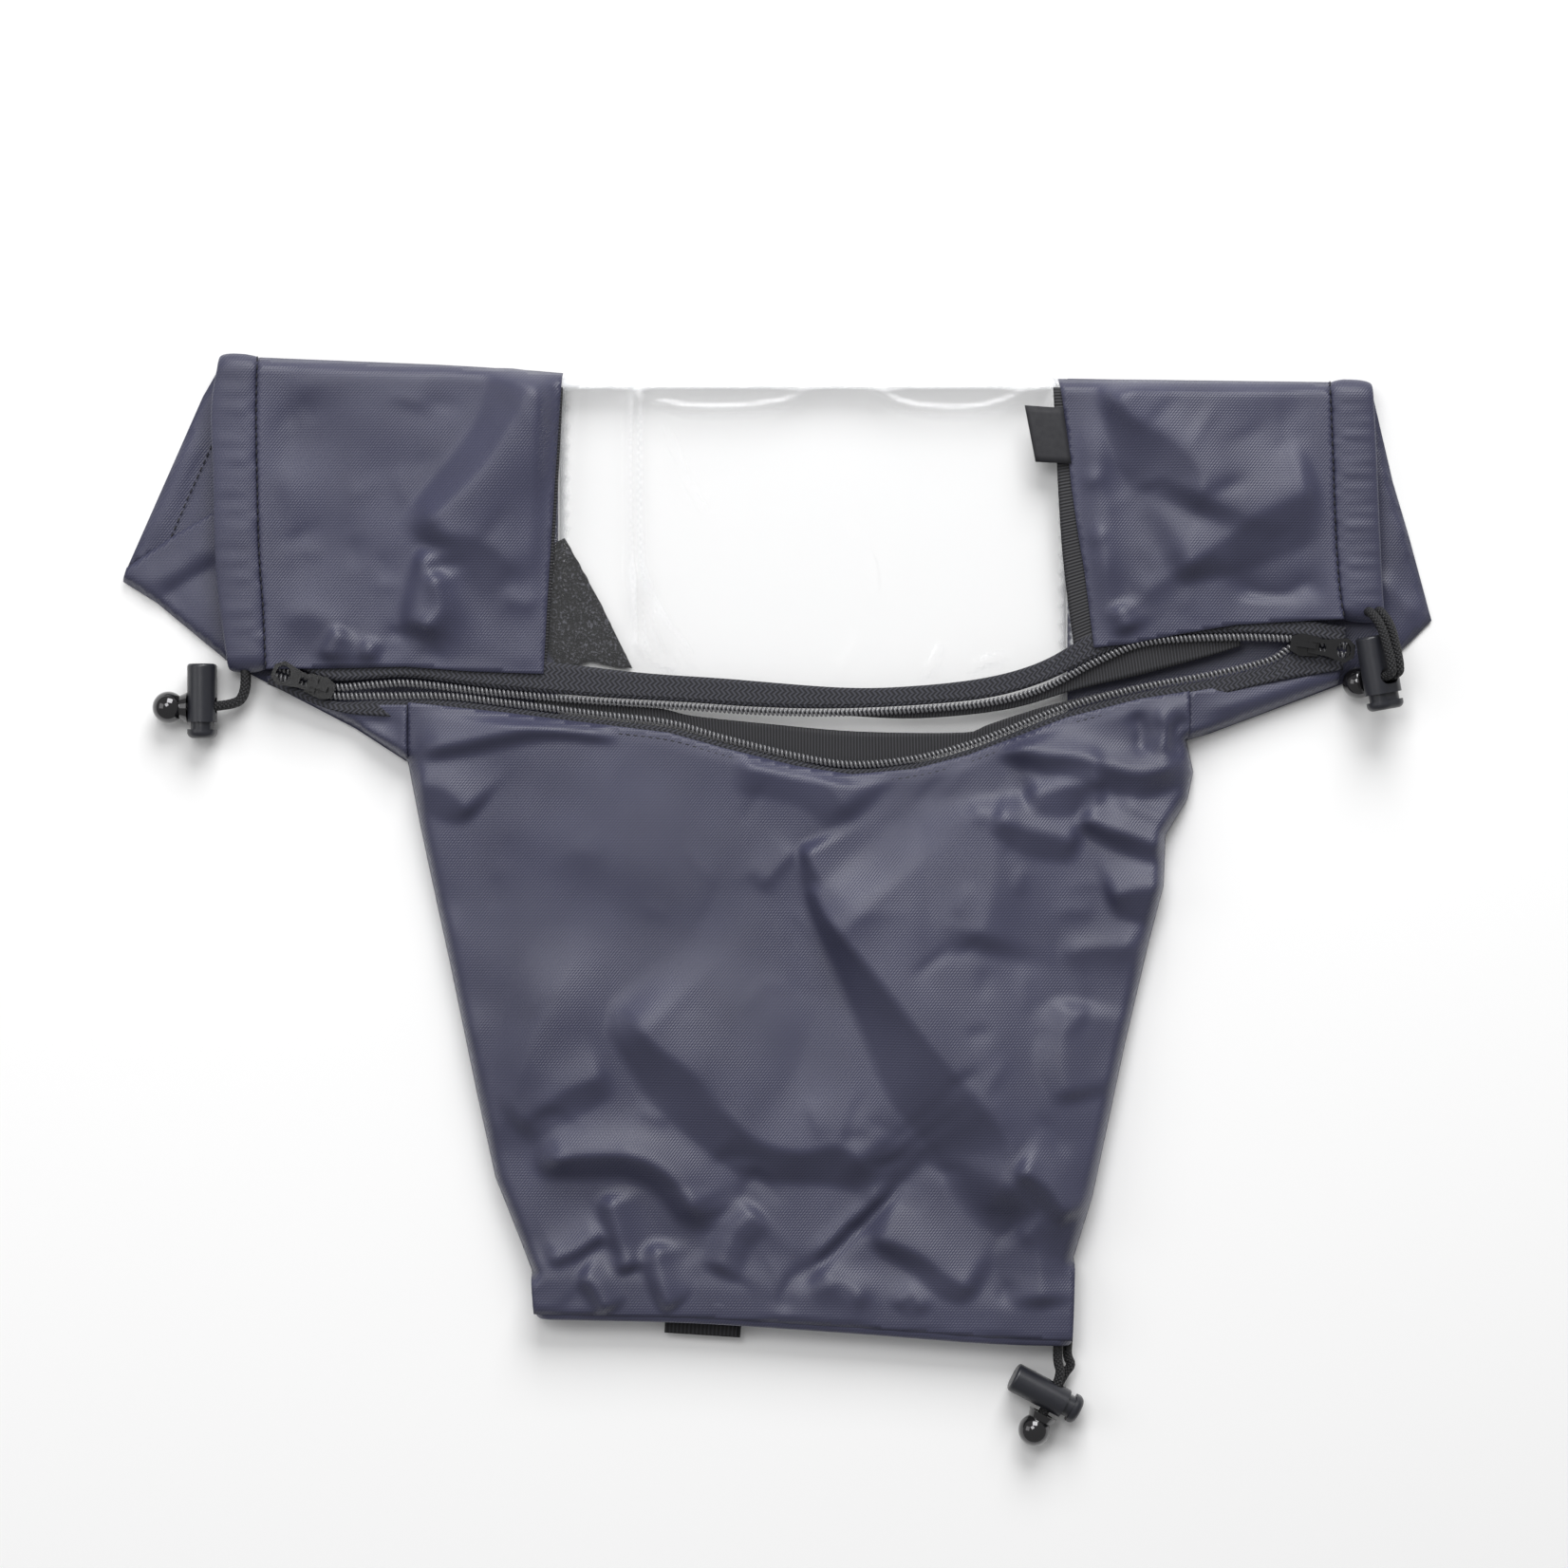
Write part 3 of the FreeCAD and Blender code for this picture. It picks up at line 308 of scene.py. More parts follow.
def cloth(name, edges, height, replaced=None, slot="nylon_fabric", step=2.2, thickness=CLOTH_THICKNESS):
    """A sheet cut to an outline (a list of edge lines in order) and raised by a height function."""
    outline = np.vstack([straight(edge, step)[:-1] for edge in edges])
    plan, faces = fill(outline, step)
    piece = add_mesh(name, np.column_stack([plan, height(plan)]), faces)
    thicken(piece, thickness)
    dress(piece, slot)
    length, width = cut_size(outline)
    if replaced:
        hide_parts(replaced)


def turns_left(plan, face):
    """True if the face's corners run anticlockwise in plan."""
    first, second, third = (plan[index] for index in face[:3])
    way, other = second - first, third - first
    return way[0] * other[1] - way[1] * other[0] > 0


def sweep(centres, radius, sides):
    """Corners and faces of a tube along a line of centres."""
    centres = np.asarray(centres, float)
    ways = np.gradient(centres, axis=0)
    ways /= np.linalg.norm(ways, axis=1)[:, None]
    up = np.array([0.0, 0.0, 1.0])
    across = np.cross(up, ways)
    weak = np.linalg.norm(across, axis=1) < 1e-3
    across[weak] = [1.0, 0.0, 0.0]
    across /= np.linalg.norm(across, axis=1)[:, None]
    over = np.cross(ways, across)
    angles = np.linspace(0, 2 * math.pi, sides, endpoint=False)
    rings = (centres[:, None, :] + radius * np.cos(angles)[None, :, None] * across[:, None, :]
             + radius * np.sin(angles)[None, :, None] * over[:, None, :])
    corners = rings.reshape(-1, 3)
    faces = []
    for ring in range(len(centres) - 1):
        for side in range(sides):
            here, there = ring * sides + side, ring * sides + (side + 1) % sides
            faces.append((here, there, there + sides, here + sides))
    faces.append(tuple(range(sides))[::-1])
    last = (len(centres) - 1) * sides
    faces.append(tuple(range(last, last + sides)))
    return corners, faces


def gather(parts):
    """One list of corners and faces out of many."""
    corners, faces, shift = [], [], 0
    for some_corners, some_faces in parts:
        corners.append(some_corners)
        faces += [tuple(index + shift for index in face) for face in some_faces]
        shift += len(some_corners)
    return np.vstack(corners), faces


# Materials -----------------------------------------------------------------------------------


def new_material(name, colour, roughness):
    """A principled material with its even values set on the shader itself."""
    material = bpy.data.materials.new(name)
    material.use_nodes = True
    shader = material.node_tree.nodes["Principled BSDF"]
    shader.inputs["Base Color"].default_value = (*colour, 1)
    shader.inputs["Roughness"].default_value = roughness
    return material, material.node_tree, shader


def node(tree, kind, **values):
    """A new node with some of its sockets or settings filled in."""
    made = tree.nodes.new(kind)
    for key, value in values.items():
        if key in made.inputs:
            made.inputs[key].default_value = value
        else:
            setattr(made, key, value)
    return made


def coordinates(tree, source="Object", scale=1, turn=0.0):
    """Object or UV coordinates, scaled to repeats per metre (or per UV unit) and turned in degrees."""
    place = node(tree, "ShaderNodeTexCoord")
    mapping = node(tree, "ShaderNodeMapping")
    mapping.inputs["Scale"].default_value = (scale, scale, scale)
    mapping.inputs["Rotation"].default_value = (0, 0, math.radians(turn))
    tree.links.new(place.outputs[source], mapping.inputs["Vector"])
    return mapping.outputs["Vector"]


def wave(tree, vector, scale, direction="X"):
    """Sine bands."""
    bands = node(tree, "ShaderNodeTexWave", wave_type="BANDS", bands_direction=direction, Scale=scale)
    tree.links.new(vector, bands.inputs["Vector"])
    return bands.outputs["Fac"]


def noise(tree, scale, detail):
    """Soft random clouds in object coordinates."""
    cloud = node(tree, "ShaderNodeTexNoise", Scale=scale, Detail=detail)
    tree.links.new(coordinates(tree), cloud.inputs["Vector"])
    return cloud.outputs["Fac"]


def uv_parts(tree):
    """UV x and y."""
    parts = node(tree, "ShaderNodeSeparateXYZ")
    tree.links.new(coordinates(tree, "UV"), parts.inputs["Vector"])
    return parts.outputs["X"], parts.outputs["Y"]


def combine(tree, operation, first, second=0):
    """Maths on sockets or plain numbers."""
    made = node(tree, "ShaderNodeMath", operation=operation)
    for socket, value in zip(made.inputs, (first, second)):
        if isinstance(value, (int, float)):
            socket.default_value = value
        else:
            tree.links.new(value, socket)
    return made.outputs["Value"]


def bump(tree, shader, height, distance, strength=1.0):
    """Bump of a real depth in metres."""
    made = node(tree, "ShaderNodeBump", Strength=strength, Distance=distance)
    tree.links.new(height, made.inputs["Height"])
    tree.links.new(made.outputs["Normal"], shader.inputs["Normal"])


def shades(tree, shader, factor, dark, light):
    """Base colour between two shades; the ramp's ends may be moved."""
    ramp = node(tree, "ShaderNodeValToRGB")
    ramp.color_ramp.elements[0].color = (*dark, 1)
    ramp.color_ramp.elements[1].color = (*light, 1)
    tree.links.new(factor, ramp.inputs["Fac"])
    tree.links.new(ramp.outputs["Color"], shader.inputs["Base Color"])
    return ramp


def scaled(colour, factor):
    """A darker or lighter shade of a colour."""
    return tuple(value * factor for value in colour)


def nylon_material():
    """Coated nylon twill: fine diagonal lines crossed by single yarns, soft colour clouds; the lines are
    painted lighter on their crests and darker in their grooves, painted highlight and painted shade of the
    weave.
    """
    material, tree, shader = new_material("nylon", (0.043, 0.045, 0.072), 0.42)
    shader.inputs["Sheen Weight"].default_value = 0.08
    shader.inputs["Sheen Roughness"].default_value = 0.4
    shader.inputs["Sheen Tint"].default_value = (0.75, 0.78, 1.0, 1)
    twill = wave(tree, coordinates(tree, scale=1000, turn=38), 0.33)
    yarns = wave(tree, coordinates(tree, scale=1000), 0.30, "Y")
    weave = combine(tree, "ADD", twill, combine(tree, "MULTIPLY", yarns, 0.5))
    cloud = noise(tree, 28, 4)
    weave_painted_shade = combine(tree, "MULTIPLY", weave, 0.28)
    tone = combine(tree, "ADD", weave_painted_shade, combine(tree, "MULTIPLY", cloud, 0.55))
    # Base colour: random clouds of tone, plus the weave lines as painted shade in the grooves and painted
    # highlight on the crests.
    shades(tree, shader, tone, (0.0250, 0.0256, 0.049), (0.0680, 0.0700, 0.124))
    bump(tree, shader, weave, 0.00014, 0.5)
    return material


def woven_material(name, colour, pitch, herringbone):
    """Ribbed ribbon, or herringbone tape, with painted shade between the ribs and painted highlight on
    their crests: UV x runs along the strip in millimetres, y across it.
    """
    material, tree, shader = new_material(name, colour, 0.7)
    along, over = uv_parts(tree)
    if herringbone:
        zigzag = combine(tree, "PINGPONG", over, 1.6)
        along = combine(tree, "ADD", along, zigzag)
    rib = combine(tree, "SINE", combine(tree, "MULTIPLY", along, 2 * math.pi / pitch))
    ribs = combine(tree, "ADD", combine(tree, "MULTIPLY", rib, 0.5), 0.5)
    # The strip is one colour; its ribs are painted darker between them and lighter on their crests, painted
    # shade and painted highlight.
    shades(tree, shader, ribs, scaled(colour, 0.3), scaled(colour, 2.1))
    bump(tree, shader, ribs, 0.0003, 0.8)
    return material


def braid_material(name, colour):
    """Braided cord: diagonal strands both ways, painted darker between the strands and lighter on their
    crowns (painted shade and painted highlight); UV x runs along it in millimetres, y once round it.
    """
    material, tree, shader = new_material(name, colour, 0.62)
    along, around = uv_parts(tree)
    along = combine(tree, "MULTIPLY", along, 2 * math.pi / 3.4)
    around = combine(tree, "MULTIPLY", around, 2 * math.pi * 3)
    first = combine(tree, "SINE", combine(tree, "ADD", along, around))
    second = combine(tree, "SINE", combine(tree, "SUBTRACT", along, around))
    strands = combine(tree, "ABSOLUTE", combine(tree, "MULTIPLY", first, second))
    # The cord is one colour; strands are painted lighter on their crowns and darker between them, painted
    # highlight and painted shade.
    shades(tree, shader, strands, scaled(colour, 0.35), scaled(colour, 1.8))
    bump(tree, shader, strands, 0.0006, 0.9)
    return material


def plastic_material(name, colour, roughness, grain=0.00004, coat=0.0, metallic=0.0):
    """Moulded plastic or enamel with fine grain and faint wear in its roughness."""
    material, tree, shader = new_material(name, colour, roughness)
    shader.inputs["Coat Weight"].default_value = coat
    shader.inputs["Metallic"].default_value = metallic
    cloud = noise(tree, 420, 3)
    spread = node(tree, "ShaderNodeMapRange", **{"To Min": roughness * 0.8, "To Max": roughness * 1.25})
    tree.links.new(cloud, spread.inputs["Value"])
    tree.links.new(spread.outputs["Result"], shader.inputs["Roughness"])
    fine = noise(tree, 2600, 2)
    bump(tree, shader, fine, grain, 0.6)
    return material


def pile_material():
    """Loop pile: coarse fuzz; its bright specks are painted glints, light caught by the fibre ends of the
    black pile.
    """
    material, tree, shader = new_material("loop_pile", (0.008, 0.008, 0.009), 0.6)
    shader.inputs["Specular IOR Level"].default_value = 0.15
    glint_specks = noise(tree, 1000, 3)
    # Near-black pile with bright specks: painted glints where fibre ends catch the light.
    ramp = shades(tree, shader, glint_specks, (0.0015, 0.0015, 0.002), (0.13, 0.13, 0.155))
    ramp.color_ramp.elements[0].position = 0.52
    ramp.color_ramp.elements[1].position = 0.78
    bump(tree, shader, glint_specks, 0.0008, 1.0)
    return material


def clear_material():
    """Clear vinyl: mostly seen through and glossy; where a crease tilts it the sheet is made more opaque
    and whiter, a painted reflection standing in for the shine of the creases.
    """
    material, tree, shader = new_material("clear_vinyl", (0.88, 0.89, 0.91), 0.04)
    shader.inputs["IOR"].default_value = 1.54
    shader.inputs["Specular IOR Level"].default_value = 0.9
    surface = node(tree, "ShaderNodeNewGeometry")
    parts = node(tree, "ShaderNodeSeparateXYZ")
    tree.links.new(surface.outputs["Normal"], parts.inputs["Vector"])
    tilt = combine(tree, "SUBTRACT", 1.0, combine(tree, "ABSOLUTE", parts.outputs["Z"]))
    # Opacity rises with the tilt of the surface, so creases show as whiter lines: painted reflection.
    spread = node(tree, "ShaderNodeMapRange",
                  **{"From Min": 0.01, "From Max": 0.17, "To Min": 0.022, "To Max": 0.5})
    tree.links.new(tilt, spread.inputs["Value"])
    tree.links.new(spread.outputs["Result"], shader.inputs["Alpha"])
    soft = noise(tree, 14, 3)
    bump(tree, shader, soft, 0.0012, 0.35)
    return material


# Each slot of the record and its look.
LOOKS = {
    "nylon_fabric": nylon_material(),
    "zipper_tape": woven_material("tape_herringbone", (0.0215, 0.022, 0.029), 2.1, True),
    "grosgrain": woven_material("grosgrain", (0.018, 0.018, 0.021), 1.25, False),
    "webbing": woven_material("webbing", (0.012, 0.012, 0.014), 1.6, False),
    "cord": braid_material("braided_cord", (0.014, 0.014, 0.016)),
    "clear_pvc": clear_material(),
    "loop_pile": pile_material(),
    # The coil is black nylon; its teeth get a light grey colour, a painted highlight standing in for the
    # glints on the teeth.
    "coil_nylon": plastic_material("coil_nylon", (0.15, 0.15, 0.16), 0.2, coat=1.0),
    "slider_metal": plastic_material("slider_enamel", (0.008, 0.008, 0.009), 0.2, coat=0.5),
    "lock_plastic": plastic_material("lock_plastic", (0.019, 0.020, 0.026), 0.34, 0.00005),
    "ball_gloss": plastic_material("ball_gunmetal", (0.03, 0.029, 0.032), 0.08, 0.000005, 1.0, 0.7),
    "spring_steel": plastic_material("spring_steel", (0.6, 0.6, 0.62), 0.25, metallic=1.0),
    "label_cloth": plastic_material("label_cloth", (0.019, 0.019, 0.023), 0.7, 0.0001),
}
THREAD = plastic_material("thread", (0.016, 0.016, 0.02), 0.7)


# Back layers ---------------------------------------------------------------------------------


def make_left_back():
    """Left back layer on the floor; its cuff corner sticks out past the front and is folded over."""
    fold_low = [(-252, 100.8), (-238, 110), (-222, 119)]

    def left_high(points):
        heights = 1.6 + ripple(points, 34, 0.25, 1)
        heights += fold(points, [(-232, 175), (-247, 140), (-256, 118)], 1.3, 5, 8, 1.5)
        heights += fold(points, [(-226, 172), (-236, 150), (-243, 126)], -0.9, 2, 2, 1.2)
        return np.maximum(settle(points, heights, [(-226, 196), (-232.7, 184), (-263, 115)], 3, 0.9), 0.8)

    def left_low(points):
        heights = 4.4 + ripple(points, 26, 0.25, 2)
        heights += fold(points, fold_low, -2.2, 3, 9, 1.2)
        heights += fold(points, [(-262, 108), (-245, 112), (-228, 126)], 1.2, 6, 6)
        return np.maximum(drop(points, heights, [(-265, 109), (-251.5, 100.6), (-221.2, 75.6)], 4, 1), 1.0)

    high = [[(-88.8, 60), (-88.8, 192.5), (-223.5, 200)],
            [(-223.5, 200), (-232.7, 184), (-263.1, 115.2)],
            [(-263.1, 115.2), (-245, 122), (-222, 128), (-219, 74.5)],
            [(-219, 74.5), (-170.8, 49.6), (-150.5, 36.5), (-88.8, 36.5), (-88.8, 60)]]
    cloth("sleeve_left_back_cloth", high, left_high, "sleeve_left_back", step=3.0)
    low = [[(-220.5, 138.5), (-226.9, 137.5), (-245, 127), (-263.1, 114.6)],
           [(-263.1, 114.6), (-265, 109), (-251.5, 100.6), (-221.2, 75.6)], [(-221.2, 75.6), (-218.6, 76)],
           [(-218.6, 76), (-220.5, 138.5)]]
    cloth("cuff_left_back_fold", low, left_low)
    seam = smooth([(-228.8, 164.4, 2.2), (-238, 144, 2.6), (-245.8, 126, 2.4)])
    stitches("cuff_left_back_stitches", seam, 3.2)


def make_right_back():
    """Right back layer with its creased cuff corner."""
    right_fold = [(242, 113), (252, 102.5), (262.3, 93.3)]

    def right_back(points):
        heights = 2.0 + ripple(points, 30, 0.25, 3)
        heights += fold(points, right_fold, 2.4, 3.0, 9, 1.2)
        heights += fold(points, [(244, 168), (249, 140), (259, 110)], 1, 5, 8)
        border = [(240, 189), (249.2, 149.8), (255.8, 127.5), (265, 93.3), (256.2, 84.4), (248.1, 77.1),
                  (232.7, 69)]
        return np.maximum(drop(points, heights, border, 3, 0.9), 0.8)

    right = [[(117.4, 36.5), (165.6, 36.5), (165.6, 44.6), (175, 47.5), (232.7, 69)],
             [(232.7, 69), (248.1, 77.1), (256.2, 84.4), (265, 93.3)],
             [(265, 93.3), (255.8, 127.5), (249.2, 149.8), (240, 189.6)],
             [(240, 189.6), (117.4, 191.2)], [(117.4, 191.2), (117.4, 36.5)]]
    cloth("sleeve_right_back_cloth", right, right_back, "sleeve_right_back", step=3.0)


def make_lens_back():
    """Back layer of the lens sleeve."""
    lower = [[(-149.2, 35.8), (-144.4, 10.2), (-139.3, -13.3), (-131.6, -48.7), (-121.6, -97.1),
              (-113.9, -132.1), (-99.4, -169.8), (-98.8, -186.4)],
             [(-98.8, -186.4), (118.2, -200.8)],
             [(118.2, -200.8), (119.8, -164.8), (127.4, -139.8), (140.5, -78.3), (149.7, -39), (156.2, -14),
              (157, 6.3), (166, 21), (168.2, 32.1), (166, 35.8)],
             [(166, 35.8), (-149.2, 35.8)]]
    cloth("lens_sleeve_back_cloth", lower, lambda points: 0.9 + np.abs(ripple(points, 50, 0.12, 4)),
          "lens_sleeve_back", step=4.0)


# Sleeves -------------------------------------------------------------------------------------

LEFT_SEAM = [(-209.2, 199.4), (-209.6, 171.7), (-208.5, 121.7), (-206.9, 98.7), (-205.8, 73.4)]
LEFT_CUFF = [(-224.5, 200.4), (-228, 179.4), (-227.3, 152.5), (-226.2, 114), (-222.6, 83.3),
             (-220.8, 72.6)]
RIGHT_SEAM = [(222.3, 189.4), (223.5, 160.2), (224.6, 129.4), (226.2, 106.3), (228.2, 93.4)]
RIGHT_CUFF = [(239.8, 189.4), (241.2, 164), (242.7, 129.4), (243.8, 106.3), (244.6, 93)]
LENS_SEAM = [(118.6, -187), (60, -184), (-10, -178.6), (-60, -175), (-98.6, -172.2)]
LENS_FOLD = [(118.8, -197), (85, -195.6), (35, -191.8), (-15, -188.6), (-45, -187.2), (-98, -186.2)]
LENS_EDGE = [(118.4, -199.4), (85, -198.4), (35, -194.6), (-15, -191.2), (-45, -189.7), (-97, -188.6)]


LEFT_FACETS = (
    ([(-93, 196), (-106, 173), (-121, 150), (-148, 126)], [(-115, 197), (-122, 174.3), (-135.5, 155),
     (-153.8, 132)], 6, 26),
    ([(-143, 123), (-142.5, 109), (-145.5, 96), (-148, 87)], [(-145, 122.5), (-150.5, 108), (-152.5, 96),
     (-151.5, 86)], 5, 8),
    ([(-139, 113), (-135.5, 97), (-145, 88)], [(-141.9, 111.5), (-143, 98), (-147, 89.5)], 4.4, 8),
    ([(-176, 90), (-182, 77)], [(-180.5, 90), (-187.5, 79)], 3.2, 7),
    ([(-165, 85), (-165, 76)], [(-168.5, 84), (-169.5, 77)], 2.6, 6),
)
LEFT_FOLDS = (
    ([(-149.6, 89.1), (-154, 84), (-162, 76)], -3.6, 3, 4, 1.2),
    ([(-144, 123), (-135.5, 127), (-116.3, 124), (-100, 109)], 2.4, 7, 9, 1.3),
    ([(-203, 92), (-188, 96), (-172, 87)], 1.8, 5, 8),
    ([(-203, 158), (-196, 140), (-199, 110)], 1.6, 7, 7),
    ([(-205, 186), (-170, 190), (-130, 187)], 1.2, 6, 9),
    ([(-112, 104), (-102, 100), (-92, 102)], 1.8, 5, 5, 1.3),
)
RIGHT_FACETS = (
    ([(130.7, 189.6), (140.6, 175.4), (157.1, 166.6), (168.1, 155.5), (170.3, 147.9), (165.8, 134.9)],
     [(128.4, 188.5), (133.9, 162.3), (139.3, 150), (148, 140), (163, 133)], 6.4, 20),
    ([(158, 111), (172, 119.2), (194, 135.8), (223, 148)], [(168, 109), (184, 112), (204, 119.2),
     (224.5, 128.1)], 5, 22),
    ([(136, 99), (141.5, 88)], [(131, 98), (135, 88)], 3.2, 7),
)
RIGHT_FOLDS = (
    ([(182.5, 112.6), (190.4, 104.8), (203.4, 102), (214.5, 107.1), (224.4, 100.6)], -3.2, 6, 4, 1.3),
    ([(142.8, 101.7), (158, 111), (170.4, 119.2)], 2.2, 7, 6, 1.3),
    ([(120.9, 149), (131.7, 150.6)], 2, 3, 3, 1.2),
    ([(123, 125.9), (132.8, 127.6)], 2, 3, 3, 1.2),
    ([(128, 178), (131, 150), (133, 124), (130, 100)], 2.4, 5, 9, 1.3),
    ([(120, 186), (160, 184), (214, 183)], 1.1, 6, 8),
)

# Each front sleeve: its folds and slack, the level it is held at (line, width, level), its far edge, which
# rounds down to the floor, and its cut edges.
SLEEVES = {
    "left": dict(
        waves=(60, 0.8, 5), facets=LEFT_FACETS, folds=LEFT_FOLDS,
        slack=((-200, -100, 78, 186), 22, 0.9, 34), tapes_below=86,
        held=(([(-94.4, 72.4), (-89.4, 144.8), (-87, 192)], 9, FRONT),
              ([(-205.8, 72.6), (-149.6, 74), (-94.4, 71.8)], 7, FRONT - 0.1),
              (LEFT_SEAM, 16, SEAM_TOP)),
        far=[(-211, 200.2), (-137, 197.1), (-86.5, 193.6)],
        edges=[LEFT_SEAM,
               [(-205.8, 73.4), (-180, 73.6), (-149.6, 74.3), (-122.7, 72.4), (-94.2, 71.4)],
               [(-94.2, 71.4), (-92.7, 98.7), (-89.8, 144.8), (-86.6, 193.2)],
               [(-86.6, 193.2), (-107.3, 195.2), (-137, 196.6), (-209.2, 199.4)]]),
    "right": dict(
        waves=(55, 0.8, 6), facets=RIGHT_FACETS, folds=RIGHT_FOLDS,
        slack=((126, 216, 100, 182), 22, 0.9, 35), tapes_below=101,
        held=(([(115, 179.4), (120.9, 129.4), (127.6, 82)], 9, FRONT - 0.5),
              ([(127.6, 82), (185, 91.2), (228, 93.4)], 7, FRONT),
              (RIGHT_SEAM, 14, SEAM_TOP)),
        far=[(112, 191.4), (185, 190.4), (224, 190)],
        edges=[[(222.3, 189.4), (185, 189.9), (113.5, 190.8)],
               [(113.5, 190.8), (115.2, 179.4), (118.5, 146.7), (120.9, 129.4), (123.5, 114), (127.6, 82)],
               [(127.6, 82), (142.7, 83.6), (161.9, 87.4), (185, 91.2), (215.8, 93), (228.2, 93.4)],
               RIGHT_SEAM[::-1]]),
}


def sleeve_height(points, shape):
    """Height of a front sleeve: its folds, then the edges that are sewn down or rounded to the floor."""
    heights = FRONT + FRONT_PUFF + ripple(points, *shape["waves"])
    heights += facets(points, shape["facets"])
    heights += folds(points, shape["folds"])
    heights += creases(points, *shape["slack"])
    lowest = np.where(points[:, 1] < shape["tapes_below"], TAPE_CLEAR, LOWEST_SLEEVE)
    heights = even(points, np.maximum(heights, lowest), 2.4)
    for line, width, level in shape["held"]:
        heights = settle(points, heights, line, width, level)
    return drop(points, heights, shape["far"], 7, EDGE_LEVEL)


def make_sleeves():
    """Front layers of both hand sleeves."""
    for side, shape in SLEEVES.items():
        cloth("sleeve_%s_front_cloth" % side, shape["edges"], lambda points: sleeve_height(points, shape),
              "sleeve_%s_front" % side, step=1.8)


# Hems ----------------------------------------------------------------------------------------


RING_COUNT = 90
RING_SIDES = 28
GATHER_RATES = (0.21, 0.37, 0.63, 0.9)
GATHER_SLANTS = (0.6, -0.9, 1.2, -0.5)


def ring_stations(trim):
    """Share of the hem's length, turn of the section in degrees and end that it rounds, in order."""
    shares = np.linspace(trim, 1 - trim, RING_COUNT)
    turns = np.linspace(75, -75, 11)
    front = [(share, 90, 0) for share in shares]
    far_fold = [(1 - trim, turn, 1) for turn in turns]
    back = [(share, -90, 0) for share in shares[::-1]]
    near_fold = [(trim, turn, -1) for turn in -turns]
    return front + far_fold + back + near_fold


def between(rows, where):
    """Row of a table at a fractional index."""
    index = min(int(where), len(rows) - 2)
    mix = where - index
    return rows[index] * (1 - mix) + rows[index + 1] * mix


def signed_power(value, exponent):
    """Squares off a circle a little without changing its signs."""
    return math.copysign(abs(value) ** exponent, value)


def ring_section(place, side, normal, distance, pucker, phases):
    """Corners of one section of a hem, gathered along its inner half."""
    corners = []
    for step in range(RING_SIDES):
        angle = 2 * math.pi * step / RING_SIDES
        wide = signed_power(math.cos(angle), 0.85)
        tall = signed_power(math.sin(angle), 0.8)
        waves = [math.sin(distance * rate + phase + wide * slant)
                 for rate, phase, slant in zip(GATHER_RATES, phases, GATHER_SLANTS)]
        gathers = pucker * sum(waves)
        inner = wide < 0
        puff = max(HEM_HALF + 0.3 * gathers * (0.4 + 0.6 * inner), 2.2)
        sag = 0.35 * gathers * wide * inner
        corners.append(place + side * wide + normal * (tall * puff + sag))
    return corners


def ring_faces(total):
    """Faces of a closed ring of sections."""
    faces = []
    for ring in range(total):
        here = ring * RING_SIDES
        there = (ring + 1) % total * RING_SIDES
        for step in range(RING_SIDES):
            after = (step + 1) % RING_SIDES
            faces.append((here + step, here + after, there + after, there + step))
    return faces


def hem_ring(name, cuff, seam, pucker, seed, node_name):
    """A padded flattened ring of cloth round the drawcord: front run, far fold, back run, near fold."""
    outer = resample(smooth(cuff), RING_COUNT)
    inner = resample(smooth(seam), RING_COUNT)
    half = np.linalg.norm(outer - inner, axis=1) / 2
    across = (outer - inner) / (2 * half[:, None])
    middle = (outer + inner) / 2
    along = np.gradient(middle, axis=0)
    along /= np.linalg.norm(along, axis=1)[:, None]
    centres = resample(middle, RING_COUNT)
    trim = HEM_END / np.linalg.norm(np.diff(middle, axis=0), axis=1).sum()
    phases = np.random.default_rng(seed).uniform(0, 2 * math.pi, 4)
    stations = ring_stations(trim)
    corners = []
    for share, degrees, end in stations:
        where = share * (RING_COUNT - 1)
        turn = math.radians(degrees)
        run = along[min(int(where), RING_COUNT - 2)] * end
        normal = np.array([*(math.cos(turn) * run), math.sin(turn)])
        centre = np.array([*between(centres, where), (HEM_HIGH + HEM_LOW) / 2])
        place = centre + (HEM_HIGH - HEM_LOW) / 2 * normal
        side = np.array([*between(across, where), 0]) * between(half, where)
        corners += ring_section(place, side, normal, share * 130 + 40 * math.sin(turn), pucker, phases)
    piece = add_mesh(name, corners, ring_faces(len(stations)))
    dress(piece, "nylon_fabric")
    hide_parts(node_name)


def make_hems():
    """The three drawcord hems and the stitching along the cuffs' seams."""
    hem_ring("cuff_left_hem_cloth", LEFT_CUFF[::-1], LEFT_SEAM[::-1], 0.6, 11, "cuff_hem_left")
    hem_ring("cuff_right_hem_cloth", RIGHT_CUFF[::-1], RIGHT_SEAM[::-1], 0.6, 12, "cuff_hem_right")
    hem_ring("lens_hem_cloth", LENS_EDGE, LENS_SEAM, 0.7, 13, "lens_hem")
    for name, seam in (("cuff_left_stitches", LEFT_SEAM), ("cuff_right_stitches", RIGHT_SEAM)):
        line = smooth(seam)
        stitches(name, at_level(line, SEAM_TOP - 0.1), STITCH_PITCH)


def at_level(line, level):
    """A plan line lifted to one level."""
    return np.column_stack([line, np.full(len(line), level)])


